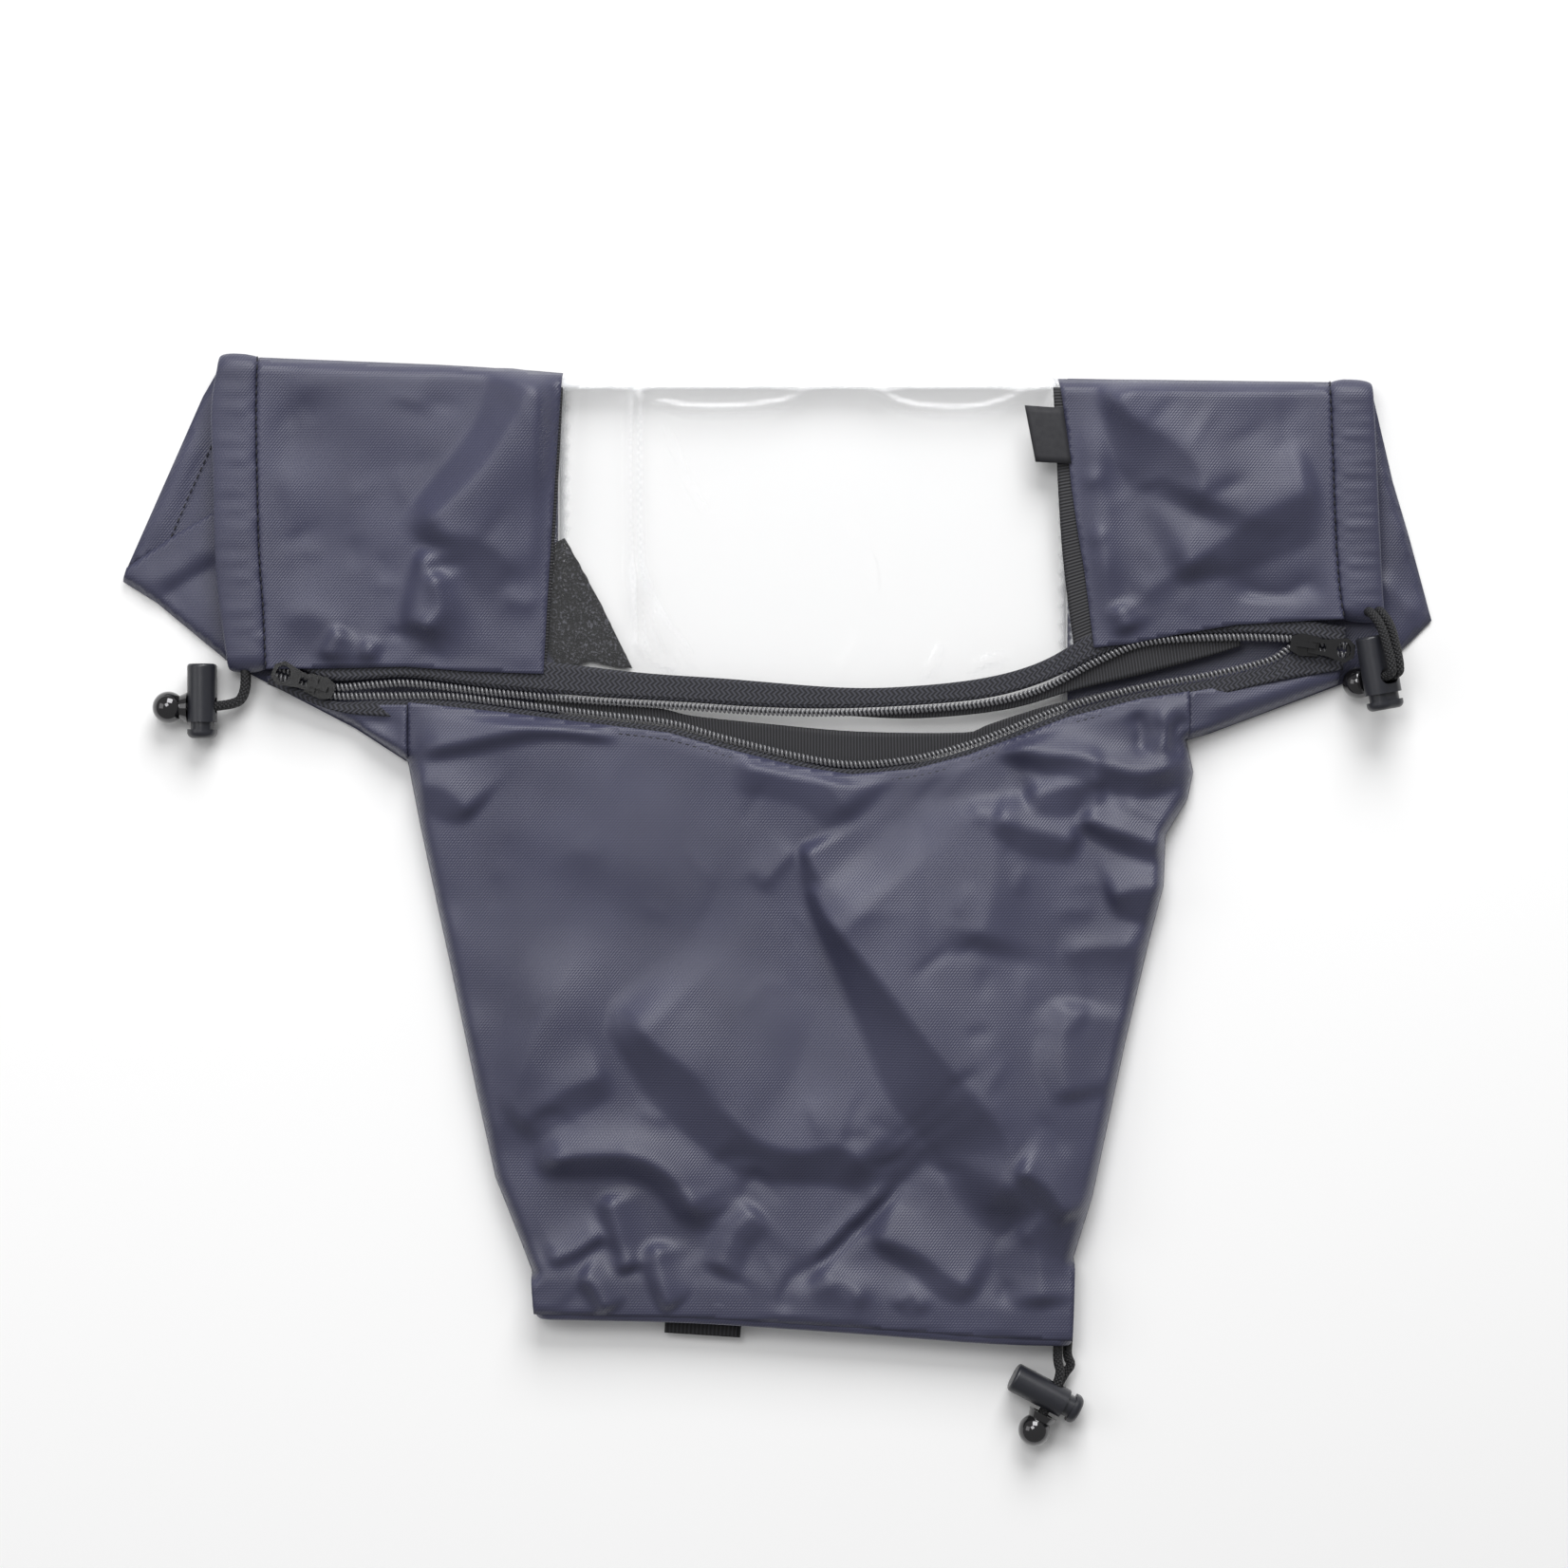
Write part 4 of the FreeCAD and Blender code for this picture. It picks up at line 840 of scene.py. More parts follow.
def stitches(name, line, pitch, length=0.72, radius=0.28):
    """A row of short threads along a line."""
    run = np.linalg.norm(np.diff(line, axis=0), axis=1).sum()
    count = int(run / pitch)
    points = resample(line, count * 4 + 1)
    parts = []
    lift = np.array([0, 0, radius])
    for index in range(count):
        start, end = points[index * 4], points[index * 4 + 3]
        middle = (start + end) / 2 + lift
        reach = (end - start) * length / 2
        route = [middle - reach - lift, middle - reach / 2, middle + reach / 2, middle + reach - lift]
        parts.append(sweep(route, radius, 6))
    piece = add_mesh(name, *gather(parts))
    dress(piece, "nylon_fabric", THREAD)


# Lens sleeve ---------------------------------------------------------------------------------

LENS_LEFT = [(-148.8, 60), (-149.6, 35.6), (-144.6, 10.2), (-139.6, -13.3), (-131.9, -48.7),
             (-121.9, -97.1), (-114.2, -132.1), (-99.2, -169.8), (-98, -186.2)]
LENS_RIGHT = [(118.8, -197), (120, -164.8), (127.7, -139.8), (140.8, -78.3), (150, -39), (156.5, -14),
              (157.3, 6.3), (166.2, 21), (168.5, 32.1), (165.8, 44.4), (166, 64.5)]
LENS_TOP = [(166, 64.5), (145.8, 61.4), (116.2, 53.8), (91.5, 44.4), (76.9, 38.8), (55, 33.2), (30, 31),
            (7.7, 34.4), (-21.5, 41.6), (-43.8, 47.8), (-73.1, 51.4), (-110, 56), (-148.8, 60)]


LENS_FACETS = (
    # gathered band below the zipper on the left
    ([(-149, 39.3), (-127, 43.7), (-98.3, 49.2), (-80.7, 49.2), (-62, 46)], [(-149, 34.5), (-126, 38.5),
     (-98, 44.5), (-80, 45), (-61, 42)], 3.8, 9),
    ([(-147, 27), (-134, 25), (-122, 14)], [(-147, 17), (-134, 12), (-122, 11)], 3.4, 12),
    # star pinch and the long dark slope below it
    ([(9.7, 3), (14.5, -7), (17.5, -14), (11, -18)], [(9.5, 2), (8.8, -8), (10, -17)], 5, 14),
    ([(10.8, -16), (23, -31.3), (38.4, -48.9), (56, -71), (78.1, -97.4), (92.4, -117.3), (91, -129),
     (81, -152)], [(10.4, -18), (20, -40.1), (33, -71), (45, -99.6), (61, -119.5), (69, -134.9),
     (80, -152)], 10, 46, 0.14),
    # large dome on the left
    ([(-77, -30), (-84, -47), (-95, -68), (-105, -93), (-114, -121)], [(-95, -30), (-107, -52),
     (-114, -80), (-119, -112)], 4.6, 26, 0.4),
    ([(-66, -58), (-49.8, -76.6), (-34.4, -88.6), (-21.1, -104), (-7.9, -116.3), (9.7, -120.7),
     (25.2, -118.5), (36, -127.3), (43, -138.2)], [(-68, -74), (-50, -101.9), (-31, -119.3),
     (-12.3, -131.4), (5.3, -133.6), (23, -134.8), (42, -140.3)], 7, 30, 0.14),
    ([(-106, -113), (-86, -97), (-66, -89)], [(-104, -122), (-82, -108), (-64, -97)], 2.8, 10),
    # crescent fold and the small ones round it
    ([(-100, -126.1), (-80.7, -122.5), (-58.6, -122.5), (-43, -130.5), (-33, -145), (-31.5, -154)],
     [(-99, -130), (-79, -132), (-61, -131.5), (-50, -137), (-42, -147), (-35, -156)], 6.5, 11),
    ([(-69, -137), (-64.5, -152), (-60, -171)], [(-73.5, -138), (-72, -153), (-65.5, -171)], 4.5, 8),
    ([(-49, -156), (-48, -170), (-42, -186)], [(-53.5, -157), (-55.5, -170), (-48, -187)], 4.2, 8),
    ([(-93, -165), (-81, -160), (-69, -153.5)], [(-92.5, -168.5), (-80, -164.5), (-68, -157)], 3.2, 7),
    ([(-80, -170), (-73, -175), (-68, -186)], [(-83, -172), (-77, -180), (-71.5, -187)], 3.8, 7),
    ([(-8, -142), (-18, -154), (-26, -170)], [(-16, -140), (-27, -153), (-33, -168)], 3.2, 12),
    # folds above the hem on the right
    ([(36, -154), (56, -161.5), (67, -169.5), (82, -178)], [(37, -159.5), (54, -170), (65, -179.5),
     (81, -183)], 4.2, 12),
    ([(94, -126), (109, -135), (118, -149)], [(95, -131.5), (106, -143), (115, -153)], 4.2, 9),
    ([(96, -150), (104, -161), (106, -184)], [(84, -154), (88, -168), (94, -186)], 3.6, 10),
    # folds from the right-hand edge
    ([(117, -58), (114, -80), (118, -102)], [(108, -62), (103, -84), (110, -103)], 2.6, 22),
    ([(132, -19), (145, -15), (158, -15)], [(133, -25), (145, -29), (155, -31)], 4.6, 9),
    ([(120, 14), (137, 8), (158, 1)], [(120.5, 9.5), (136, 0.5), (155, -7)], 5.2, 9),
    ([(99, 22), (114, 25.5), (133, 28)], [(99.5, 15.5), (116, 13.5), (132, 19)], 4.4, 7),
    ([(85, 14), (100, 9), (123, 3)], [(85, 8), (99, -2), (122, -5)], 3.6, 10),
    ([(86, 42.5), (105, 39), (122, 37.5), (146, 31.5), (167, 37)], [(86, 38), (104, 32), (121, 28.5),
     (144, 21), (165, 27)], 5.4, 8),
    # soft hollows below the zipper
    ([(-19, 34), (14, 31), (32, 12)], [(-19, 24), (9, 18), (23, 6)], 2.8, 20),
    ([(84, 24), (87, -8), (80, -42)], [(56, 24), (60, -10), (62, -40)], 3.6, 20),
)
LENS_FOLDS = (
    ([(8.6, 1.5), (4, -2), (-8, -16)], 1.8, 3, 6, 1.2),
    ([(46.5, -130), (38, -140), (26, -151), (10, -166.5)], 3.6, 7, 2.4, 1.1),
    ([(52.5, -128.5), (47.2, -138.1), (31.8, -153.6), (15.2, -168.6), (4.2, -175.6)], -4.4, 2.2, 4, 1.1),
    ([(15.2, -167.6), (5, -173.6), (2, -186.6)], -2.6, 3, 3, 1.2),
    ([(12, -178), (26, -173), (37, -183)], 2.4, 4, 5, 1.2),
    ([(46, -184), (54, -177), (60, -186)], 2.2, 3, 4, 1.2),
    ([(148.6, -37.9), (130, -38), (112, -41)], 3, 9, 5, 1.3),
    ([(163, 10), (148, 16), (136, 21)], 2.4, 5, 5, 1.3),
    ([(-127, -60), (-118, -90), (-112, -124)], 1.6, 8, 8, 1.3),
    # bunching at the right shoulder
    ([(143, 57), (147, 49), (146, 38)], -3, 2.4, 3.4, 1.2),
    ([(152, 58), (156.5, 50), (153, 38)], 3.4, 3.6, 2.4, 1.2),
    ([(166, 54), (160, 48), (162.5, 36)], -3.8, 2.4, 2.6, 1.2),
)


def lens_height(points):
    """Height of the lens sleeve before its edges are brought down."""
    heights = FRONT + 0.4 + ripple(points, 80, 1.2, 7) + ripple(points, 34, 0.3, 17)
    heights += facets(points, LENS_FACETS)
    heights += folds(points, LENS_FOLDS)
    heights += creases(points, (-100, 112, -184, -104), 46, 1.3, 31)
    heights += creases(points, (60, 150, -100, 40), 26, 1.1, 32)
    heights += creases(points, (-136, 60, -100, 34), 26, 0.6, 33)
    return heights


def make_lens_sleeve():
    """Front layer of the lens sleeve; its folds run on over the hem."""
    def shaped(points):
        heights = even(points, np.maximum(lens_height(points), LOWEST_LENS), 1.8)
        heights = settle(points, heights, LENS_TOP, 6, TAPE_CLEAR + 0.1)
        distance, side, _ = beside(points, straight(LENS_SEAM))
        share = ease(np.where(side > 0, 1.0, np.clip(1 - distance / 18, 0, 1)))
        over_hem = np.maximum(heights + HEM_COVER - FRONT, HEM_COVER)
        heights += (over_hem - heights) * share
        heights = settle(points, heights, LENS_FOLD, 3, HEM_COVER - 0.3)
        heights = drop(points, heights, LENS_LEFT[1:-1], 6, 1.3)
        return drop(points, heights, LENS_RIGHT[1:-1], 6, 1.3)

    cloth("lens_sleeve_front_cloth", [LENS_LEFT, LENS_FOLD[::-1], LENS_RIGHT, LENS_TOP], shaped,
          "lens_sleeve_front", step=1.6)


def make_shoulders():
    """The small panels below the zipper at each side."""
    def left(points):
        heights = 8.8 + 3.6 * np.clip((points[:, 0] + 190.0) / 40.0, 0, 1) + ripple(points, 30, 0.3, 8)
        heights += folds(points, (
            ([(-203, 66), (-176, 54), (-151, 41)], 2, 4, 7, 1.3),
            ([(-186, 60), (-168, 52), (-150, 52)], -2, 3, 4, 1.3),
            ([(-150, 58), (-150.4, 46), (-150, 36)], 1.2, 2, 2, 1.2),
        ))
        return drop(points, heights, [(-206, 68.2), (-170.6, 50), (-149.2, 36)], 4, 1.4)

    edges = [[(-206, 70.2), (-206, 68.2), (-170.6, 50), (-149.2, 36)], [(-149.2, 36), (-149.2, 59)],
             [(-149.2, 59), (-176, 59), (-203, 71)], [(-203, 71), (-206, 70.2)]]
    cloth("shoulder_left_cloth", edges, left, "shoulder_left", step=1.8)

    def right(points):
        heights = 9.2 + 2.6 * np.clip((200.0 - points[:, 0]) / 34.0, 0, 1) + ripple(points, 30, 0.3, 9)
        heights += folds(points, (
            ([(168, 56), (190, 61), (226, 74)], 1.8, 4, 7, 1.3),
            ([(168, 50), (196, 58), (226, 70)], -1.2, 3, 4, 1.3),
        ))
        return drop(points, heights, [(166, 44.6), (175, 47.7), (231, 68.8)], 4, 1.4)

    edges = [[(165.4, 44.6), (175, 47.7), (226.5, 67.4)], [(226.5, 67.4), (227.5, 75.2)],
             [(227.5, 75.2), (198.5, 69.8), (165.4, 64)], [(165.4, 64), (165.4, 44.6)]]
    cloth("shoulder_right_cloth", edges, right, "shoulder_right", step=1.8)


# Window --------------------------------------------------------------------------------------


WINDOW_FOLDS = (
    ([(-56.5, 190), (-57, 150), (-56, 110), (-54, 76)], 1.8, 1.6, 3, 1.2, 0.08),
    ([(-48, 180), (-36, 150), (-24, 128)], 1, 1.5, 3, 1.2),
    ([(-62, 183), (-30, 178), (4, 181), (18, 190)], 1.6, 1.6, 3.5, 1.3),
    ([(34, 190), (50, 180), (80, 178), (108, 187)], 1.6, 1.6, 3.5, 1.3),
    ([(-58, 120), (-48, 96), (-30, 72)], 1.5, 1.6, 3, 1.2),
    ([(-52, 100), (-44, 82), (-40, 70)], 1.3, 1.4, 2.4, 1.2),
    ([(-60, 88), (-52, 80), (-34, 68)], 1.2, 1.4, 2.4, 1.2),
    ([(28, 134), (38, 118), (40, 96)], 0.8, 2, 5, 1.3),
    ([(56, 66), (64, 78), (66, 86)], 1.1, 1.4, 2.4, 1.2),
    ([(74, 68), (82, 76), (95, 80)], 1.1, 1.4, 2.4, 1.2),
    ([(20, 70), (30, 80), (34, 92)], 0.8, 1.6, 3, 1.2),
)


def make_window():
    """Clear sheets front and back, with the creases that folding leaves."""
    low_edge = [(-96.1, 71.9), (-21.5, 66.3), (25.4, 61.6), (106.5, 71.2)]

    def front(points):
        heights = WINDOW + WINDOW_PUFF + ripple(points, 90, 0.2, 21)
        heights += folds(points, WINDOW_FOLDS)
        heights = np.maximum(heights, WINDOW)
        heights = settle(points, heights, [(-88.8, 191.6), (-96.1, 71.9)], 11, SEWN)
        heights = settle(points, heights, [(111.9, 191.4), (116.9, 124), (120.4, 77.4)], 11, SEWN)
        heights = settle(points, heights, low_edge, 9, SEWN)
        return drop(points, heights, [(-88.8, 191.8), (111.9, 191.8)], 6, 1.2)

    edges = [[(-88.8, 191.6), (-96.1, 71.9)],
             [(-96.1, 71.9), (-55.4, 68), (-21.5, 66.3), (25.4, 61.6), (55, 61.8), (106.5, 71.2),
              (120.4, 77.4)],
             [(120.4, 77.4), (116.9, 124), (111.9, 191.6)], [(111.9, 191.6), (-88.8, 191.6)]]
    cloth("window_front_vinyl", edges, front, "window_front", "clear_pvc", 2.0, VINYL_THICKNESS)

    def back(points):
        return 0.9 + np.abs(ripple(points, 60, 0.15, 22))

    edges = [[(-88, 191.5), (-88, 36.4)], [(-88, 36.4), (116.8, 36.4)], [(116.8, 36.4), (116.8, 191.5)],
             [(116.8, 191.5), (-88, 191.5)]]
    cloth("window_back_vinyl", edges, back, "window_back", "clear_pvc", 4.0, VINYL_THICKNESS)


def make_loop_patch():
    """Pile patch seen through the window, its lower edge cut on a wave."""
    def heights(points):
        return 2.7 + ripple(points, 7, 0.35, 23)

    edges = [[(-86, 126.5), (-107.6, 115), (-99, 98)],
             [(-99, 98), (-90, 76.5), (-84, 74), (-76, 77), (-66, 74.5), (-58.8, 74.2)],
             [(-58.8, 74.2), (-72, 101), (-86, 126.5)]]
    cloth("loop_patch_pile", edges, heights, "loop_patch", "loop_pile", 1.4, 1.6)


# Strips --------------------------------------------------------------------------------------


def grid_faces(count, rows):
    """Faces between `count` rows of `rows` corners."""
    faces = []
    for index in range(count - 1):
        for row in range(rows - 1):
            here = index * rows + row
            faces.append((here, here + 1, here + rows + 1, here + rows))
    return faces


STRIP_ROWS = 7


def strip(name, top, bottom, level, thickness, slot, replaced, wobble=0.12):
    """A narrow woven strip between two edges, with UVs in millimetres along and across it."""
    upper = smooth(top, 3.0)
    count = max(12, int(np.linalg.norm(np.diff(upper, axis=0), axis=1).sum() / 2.5))
    upper = resample(upper, count)
    lower = resample(smooth(bottom, 3.0), count)
    run = np.concatenate([[0], np.cumsum(np.linalg.norm(np.diff(upper, axis=0), axis=1))])
    corners, uvs = [], []
    for index in range(count):
        wide = np.linalg.norm(upper[index] - lower[index])
        for row in range(STRIP_ROWS):
            share = row / (STRIP_ROWS - 1)
            spot = upper[index] * (1 - share) + lower[index] * share
            lift = wobble * math.sin(run[index] * 0.23) * math.sin(run[index] * 0.071 + 1.3)
            corners.append((*spot, level + lift))
            uvs.append((run[index], share * wide))
    piece = add_mesh(name, corners, grid_faces(count, STRIP_ROWS), uvs)
    thicken(piece, thickness, -1.0)
    dress(piece, slot)
    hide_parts(replaced)


TAPES = {
    "zipper_tape_upper": (
        [(-203, 79.5), (-161.9, 80.5), (-136.2, 80.6), (-94.2, 76.5), (-55.4, 72), (-21.5, 69.6),
         (25.4, 66), (55, 66.6), (84.2, 70), (106.5, 76.5), (128.1, 88.5), (145.8, 95), (186.9, 97),
         (229, 90.4)],
        [(-202.6, 77.2), (-190, 72.8), (-178.7, 68.8), (-161.9, 69.6), (-146.9, 70), (-113.1, 65.6),
         (-74.6, 62.3), (-36.5, 60), (-6.9, 58.1), (22.7, 57.5), (55, 58.8), (84.2, 61.7), (106.5, 67.8),
         (128.1, 78), (145.8, 85.3), (163.5, 87.4), (186.9, 88), (207.7, 87.2), (229, 84.1)]),
    "zipper_tape_lower": (
        [(-204.3, 70), (-179.9, 60.7), (-160, 60.8), (-133.5, 60.7), (-110, 58), (-73.1, 53.4),
         (-43.8, 49.8), (-21.5, 43.6), (7.7, 36.4), (30, 33.1), (55, 35.3), (76.9, 41), (91.5, 46.4),
         (116.2, 56.1), (145.8, 63.9), (175, 69.3), (198.5, 75), (207.2, 79.9), (217.5, 78.8),
         (228.4, 76.8)],
        [(-205.6, 67.4), (-179.9, 57), (-160, 54.5), (-133.5, 53.5), (-110, 50.5), (-73.1, 46),
         (-43.8, 42), (-21.5, 36), (7.7, 29), (30, 26), (55, 28), (91.5, 39), (116.2, 48.5),
         (145.8, 56.5), (175, 62.5), (198.5, 68), (228, 73.2)]),
}
BINDINGS = {
    "zipper_binding_upper": (
        [(22, 56.2), (55, 57.4), (84.2, 59.9), (106.5, 65.4), (128.1, 76.2), (145.8, 83.4), (163.5, 85.6),
         (186.9, 86.2)],
        [(22, 54.9), (56.5, 53.6), (92.7, 57.2), (120.8, 65.2), (145.8, 71), (175, 79), (186.9, 82.9)]),
    "zipper_binding_lower": (
        [(-98, 61.6), (-80, 60.2), (-60, 58.6), (-46, 57.4), (-34, 54.6), (-3.8, 51.4), (32.7, 48.3),
         (75.4, 47.9), (84.2, 50.8), (106.5, 58), (131.2, 64), (150, 68)],
        [(-98, 58.6), (-80, 56.4), (-60, 53.2), (-43.8, 51), (-21.5, 45), (7.7, 37.8), (30, 34.3),
         (55, 36.6), (76.9, 42.4), (91.5, 47.8), (116.2, 57.4), (150, 66)]),
}
SIDE_BINDINGS = {
    "window_binding_left": (
        [(-86.4, 187), (-88.6, 144.8), (-93.2, 72.6)],
        [(-91, 187), (-93.5, 144.8), (-98.4, 72.6)]),
    "window_binding_right": (
        [(118, 187), (122.6, 145.2), (129, 84.2)],
        [(111.2, 187), (114.6, 124), (119.8, 80)]),
}
HEM_TAB = (
    [(-45.4, -189.6), (-30, -190.6), (-14.6, -191.8)],
    [(-45.6, -194.6), (-30, -195.6), (-15, -196.6)])
COILS = {
    "zipper_coil_upper": [
        (-161.9, 67.1), (-146.9, 67.5), (-113.1, 63.8), (-74.6, 60.6), (-36.5, 58.3), (-6.9, 56.4),
        (22.7, 55.8), (55, 57.1), (84.2, 59.7), (106.5, 65.4), (128.1, 76.2), (145.8, 83.4),
        (163.5, 85.6), (186.9, 86.2)],
    "zipper_coil_lower": [
        (-160, 62.5), (-133.5, 62.4), (-110, 59.8), (-73.1, 55.2), (-43.8, 51.6), (-21.5, 45.4),
        (7.7, 38.2), (30, 34.9), (55, 37.1), (76.9, 42.8), (91.5, 48.2), (116.2, 57.9), (145.8, 65.7),
        (175, 71.1), (198.5, 76.9)],
}
# Middle and heading of each slider, and how far its channels reach towards the closed end.
SLIDERS = {"left": ((-184.5, 66.3), 160.0, 18.0), "right": ((212.9, 83), -8.0, 16.5)}


def make_strips():
    """The zipper tapes, the bindings and the webbing tab."""
    for name, (top, bottom) in TAPES.items():
        strip(name + "_weave", top, bottom, TAPE_TOP, 0.7, "zipper_tape", name)
    for name, (top, bottom) in BINDINGS.items():
        strip(name + "_weave", top, bottom, BINDING_TOP, 0.5, "grosgrain", name, 0.3)
    for name, (top, bottom) in SIDE_BINDINGS.items():
        strip(name + "_weave", top, bottom, SIDE_BINDING_TOP, 0.5, "grosgrain", name)
    strip("hem_tab_weave", *HEM_TAB, TAB_TOP, 1.8, "webbing", "hem_tab", 0.0)


def slider_point(side, x, y):
    """A point beside a slider: x towards the closed end of the zipper, y to its left."""
    (middle_x, middle_y), heading, _ = SLIDERS[side]
    turn = math.radians(heading)
    return (middle_x + x * math.cos(turn) - y * math.sin(turn),
            middle_y + x * math.sin(turn) + y * math.cos(turn))


def coil_line(name, sign):
    """Middle of a coil in plan, from inside the left slider to inside the right one."""
    left_end, right_end = SLIDERS["left"][2], SLIDERS["right"][2]
    path = [slider_point("left", x, -sign * 1.8) for x in (left_end, 6.0, -5.5)]
    path += COILS[name]
    path += [slider_point("right", x, sign * 1.8) for x in (-5.5, 4.0, right_end)]
    return smooth(path, 1.5)


def make_coils():
    """Wound teeth: a fine helix along each edge of the tapes, over a filler cord."""
    for name, sign in (("zipper_coil_upper", 1), ("zipper_coil_lower", -1)):
        line = coil_line(name, sign)
        turns = int(np.linalg.norm(np.diff(line, axis=0), axis=1).sum() / TOOTH_PITCH)
        per_turn = 10
        spots = resample(line, turns * per_turn + 1)
        ways = np.gradient(spots, axis=0)
        ways /= np.linalg.norm(ways, axis=1)[:, None]
        across = np.column_stack([-ways[:, 1], ways[:, 0]])
        angles = np.arange(len(spots)) * 2 * math.pi / per_turn
        helix = at_level(spots + across * (TOOTH_REACH * np.cos(angles))[:, None], COIL_LEVEL)
        helix[:, 2] += TOOTH_RISE * np.sin(angles)
        wire = sweep(helix, WIRE_RADIUS, 6)
        filler = sweep(at_level(spots[::8], FILLER_LEVEL), WIRE_RADIUS, 6)
        piece = add_mesh(name + "_teeth", *gather([wire, filler]))
        dress(piece, "coil_nylon")
        piece.data.materials.append(THREAD)
        for polygon in piece.data.polygons[len(wire[1]):]:
            polygon.material_index = 1
        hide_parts(name)


def make_zipper_details():
    """Sewing lines beside the coils and the edge stitching of the cloth on the tapes."""
    upper = smooth([(x, y + 3.4) for x, y in COILS["zipper_coil_upper"]])
    stitches("zipper_stitches_upper", at_level(upper, TAPE_TOP + 0.1), 3.0, 0.7, 0.2)
    lower = smooth([(x, y - 3.0) for x, y in LENS_TOP[1:-1]])
    stitches("zipper_stitches_lower", at_level(lower, TAPE_TOP + 1.0), 3.0, 0.7, 0.2)


# Label ---------------------------------------------------------------------------------------


def make_label():
    """Blank folded tag; it bows a little and swings on its stitched edge."""
    top = [(99.6, 179.6), (107, 179), (115, 178.5)]
    bottom = [(104, 156.8), (111, 156.4), (118.4, 156.1)]
    rows = 9
    upper, lower = resample(np.array(top), rows), resample(np.array(bottom), rows)
    corners, uvs = [], []
    for across in range(rows):
        for down in range(rows):
            share = down / (rows - 1)
            spot = upper[across] * (1 - share) + lower[across] * share
            bow = 0.5 * math.sin(math.pi * across / (rows - 1)) + 0.25 * math.sin(math.pi * share)
            corners.append((*spot, LABEL_LEVEL + bow))
            uvs.append((across, down))
    piece = add_mesh("label_tag_cloth", corners, grid_faces(rows, rows), uvs, "label")
    thicken(piece, 0.5, 1.0)
    dress(piece, "label_cloth")
    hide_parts("label_tag")


# Drawcords and cord locks --------------------------------------------------------------------

CORDS = {
    "drawcord_left_upper": [(-214.6, 71.84, 9.975), (-214.17, 63.75, 9.975), (-219.9, 58, 9.975),
                            (-242.6, 58, 9.975)],
    "drawcord_left_lower": [(-214.6, 71.84, 6.025), (-214.17, 63.75, 6.025), (-219.9, 58, 6.025),
                            (-242.6, 58, 6.025)],
    "drawcord_lens_upper": [(113.12, -200.83, 9.4), (112.81, -205.5, 9.4), (115.12, -212, 9.975),
                            (105.08, -231, 9.975)],
    "drawcord_lens_lower": [(117.21, -201.1, 6), (117, -204.2, 6), (119.2, -207.6, 6),
                            (115.44, -211.4, 6.025), (105.08, -231, 6.025)],
    "drawcord_right_upper": [(237.89, 96.43, 15), (237.89, 96.43, 21), (241.6, 90.6, 26),
                             (243.6, 83, 27.4), (245.6, 75, 28.6), (245.89, 69.86, 26.7),
                             (234.81, 67.95, 10.65)],
    "drawcord_right_lower": [(242.08, 96.63, 15), (242.08, 96.63, 19.5), (245.6, 91, 23.4),
                             (247.4, 83.4, 24.8), (249, 75.2, 25.9), (249.08, 70.41, 24.44),
                             (238, 68.5, 8.38)],
}
CORD_LENGTHS = {"left_upper": 38.1, "left_lower": 38.1, "lens_upper": 32.7, "lens_lower": 34.0,
                "right_upper": 54.6, "right_lower": 52.0}


def spline_points(route):
    """Points read from the NURBS spline whose control points are the route's."""
    curve = bpy.data.curves.new("route", "CURVE")
    curve.dimensions = "3D"
    curve.resolution_u = 16
    spline = curve.splines.new("NURBS")
    spline.points.add(len(route) - 1)
    for point, place in zip(spline.points, route):
        point.co = (*place, 1)
    spline.order_u = 3
    spline.use_endpoint_u = True
    holder = bpy.data.objects.new("route", curve)
    mesh = bpy.data.meshes.new_from_object(holder)
    points = np.array([tuple(corner.co) for corner in mesh.vertices])
    bpy.data.objects.remove(holder)
    bpy.data.curves.remove(curve)
    bpy.data.meshes.remove(mesh)
    return points


def make_cords():
    """The free strands of the three drawcords."""
    for name, route in CORDS.items():
        _, side, strand = name.split("_")
        length = CORD_LENGTHS[side + "_" + strand]
        line = resample(spline_points(route), int(length / 0.8))
        corners, faces = sweep(line, CORD_DIAMETER / 2, CORD_SIDES)
        run = np.concatenate([[0], np.cumsum(np.linalg.norm(np.diff(line, axis=0), axis=1))])
        uvs = [(run[index // CORD_SIDES], index % CORD_SIDES / CORD_SIDES) for index in range(len(corners))]
        piece = add_mesh(name + "_braid", corners, faces, uvs)
        dress(piece, "cord")
        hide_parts(name)


def bevel(piece, width):
    """Ease the sharp edges of a piece."""
    edge = piece.modifiers.new("edges", "BEVEL")
    edge.width = width * MM
    edge.segments = 3
    edge.limit_method = "ANGLE"
    edge.angle_limit = math.radians(40)


# How far the edges of the parts that keep their CAD shape are eased.
EASED = {"lock_plastic": 0.35, "slider_metal": 0.22, "ball_gloss": 0.12, "spring_steel": 0.0, "cord": 0.0}


def finish_cad_nodes():
    """Materials and eased edges on the parts that keep their CAD shape."""
    for entry in frame["record"]["subparts"]:
        slot = entry["material_slot"]
        if slot not in EASED:
            continue
        piece = frame["nodes"][entry["node"]]
        piece.data.materials.clear()
        piece.data.materials.append(LOOKS[slot])
        if EASED[slot]:
            bevel(piece, EASED[slot])


# Studio --------------------------------------------------------------------------------------


FLOOR_REACH = 4.0
FLOOR_TOP = -0.0005
WORLD_STRENGTH = 0.3
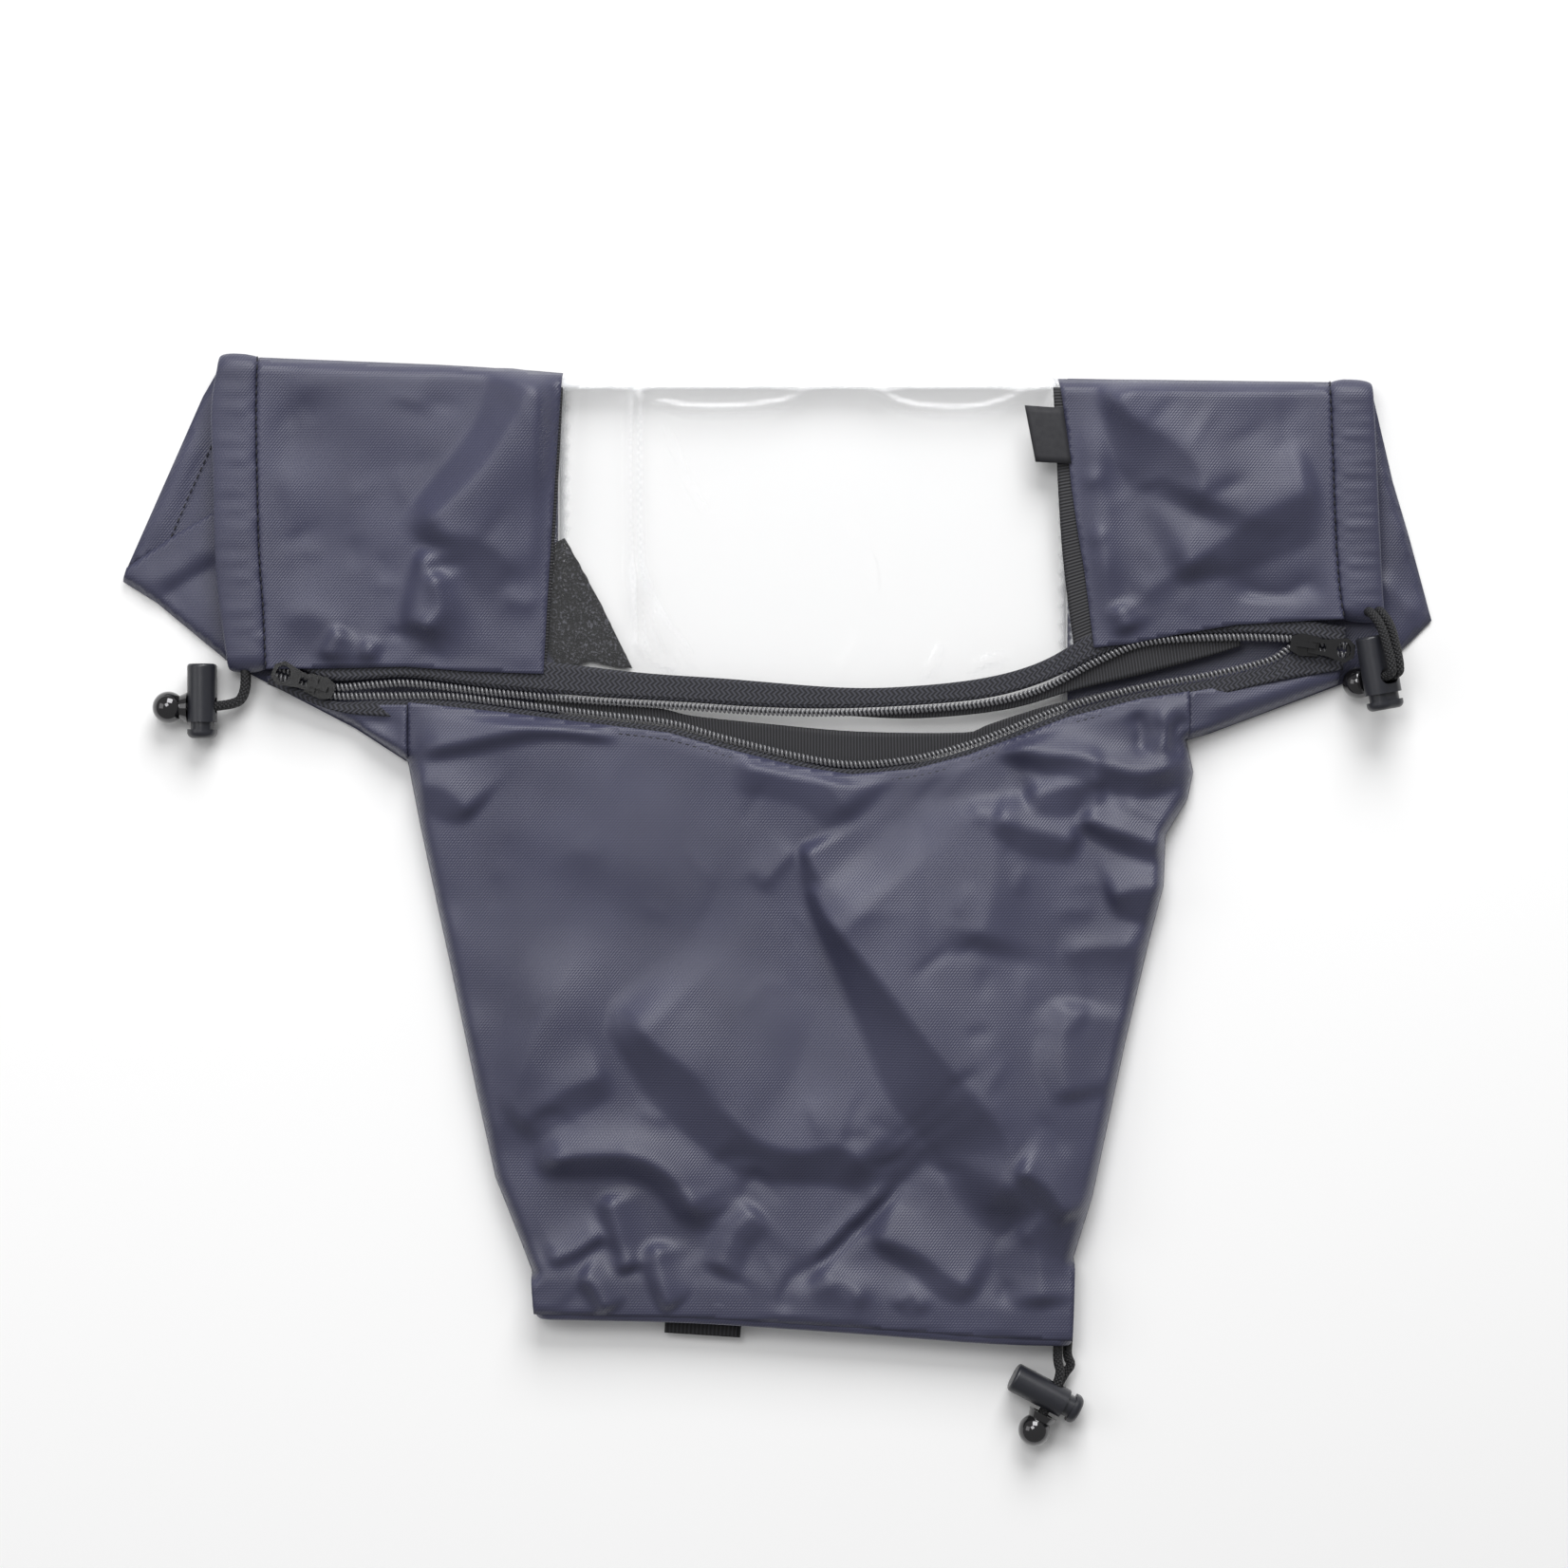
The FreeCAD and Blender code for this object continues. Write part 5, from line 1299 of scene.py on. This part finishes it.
# Place and size in metres, and power in watts, of each square light; all face the object.
LIGHTS = {
    "key_far": ((0.3, 1.85, 1.45), 1.4, 50),
    "fill_left": ((-1.8, 0.4, 1.5), 1.2, 7),
    "top": ((-0.5, 0.8, 2.2), 0.9, 16),
}
CAMERA_PLACE = (0.0027, 0.0271, 2.0)
SENSOR_WIDTH = 36
FOCAL_LENGTH = 113.3


def add_object(name, data):
    """A new object in the scene."""
    made = bpy.data.objects.new(name, data)
    bpy.context.scene.collection.objects.link(made)
    return made


def make_floor():
    """A plain pale floor just under the object."""
    mesh = bpy.data.meshes.new("floor")
    signs = ((-1, -1), (1, -1), (1, 1), (-1, 1))
    corners = [(x * FLOOR_REACH, y * FLOOR_REACH, FLOOR_TOP) for x, y in signs]
    mesh.from_pydata(corners, [], [(0, 1, 2, 3)])
    material, _, _ = new_material("floor_white", (0.93, 0.93, 0.93), 0.9)
    mesh.materials.append(material)
    add_object("floor", mesh)


def make_lights():
    """Soft square lights and an even white surround."""
    world = bpy.data.worlds.new("studio")
    world.use_nodes = True
    background = world.node_tree.nodes["Background"]
    background.inputs["Color"].default_value = (1, 1, 1, 1)
    background.inputs["Strength"].default_value = WORLD_STRENGTH
    bpy.context.scene.world = world
    for name, (place, size, power) in LIGHTS.items():
        light = bpy.data.lights.new(name, "AREA")
        light.shape = "SQUARE"
        light.size = size
        light.energy = power
        lamp = add_object(name, light)
        lamp.location = place
        lamp.rotation_euler = (-Vector(place)).to_track_quat("-Z", "Y").to_euler()


def make_camera():
    """A camera straight above the object."""
    lens = bpy.data.cameras.new("camera")
    lens.sensor_width = SENSOR_WIDTH
    lens.lens = FOCAL_LENGTH
    camera = add_object("camera", lens)
    camera.location = CAMERA_PLACE
    bpy.context.scene.camera = camera


make_camera()
make_floor()
make_lights()
bpy.context.scene.view_settings.view_transform = "Standard"
make_cords()
make_left_back()
make_right_back()
make_lens_back()
make_window()
make_loop_patch()
make_strips()
make_coils()
make_zipper_details()
make_sleeves()
make_hems()
make_lens_sleeve()
make_shoulders()
make_label()
finish_cad_nodes()
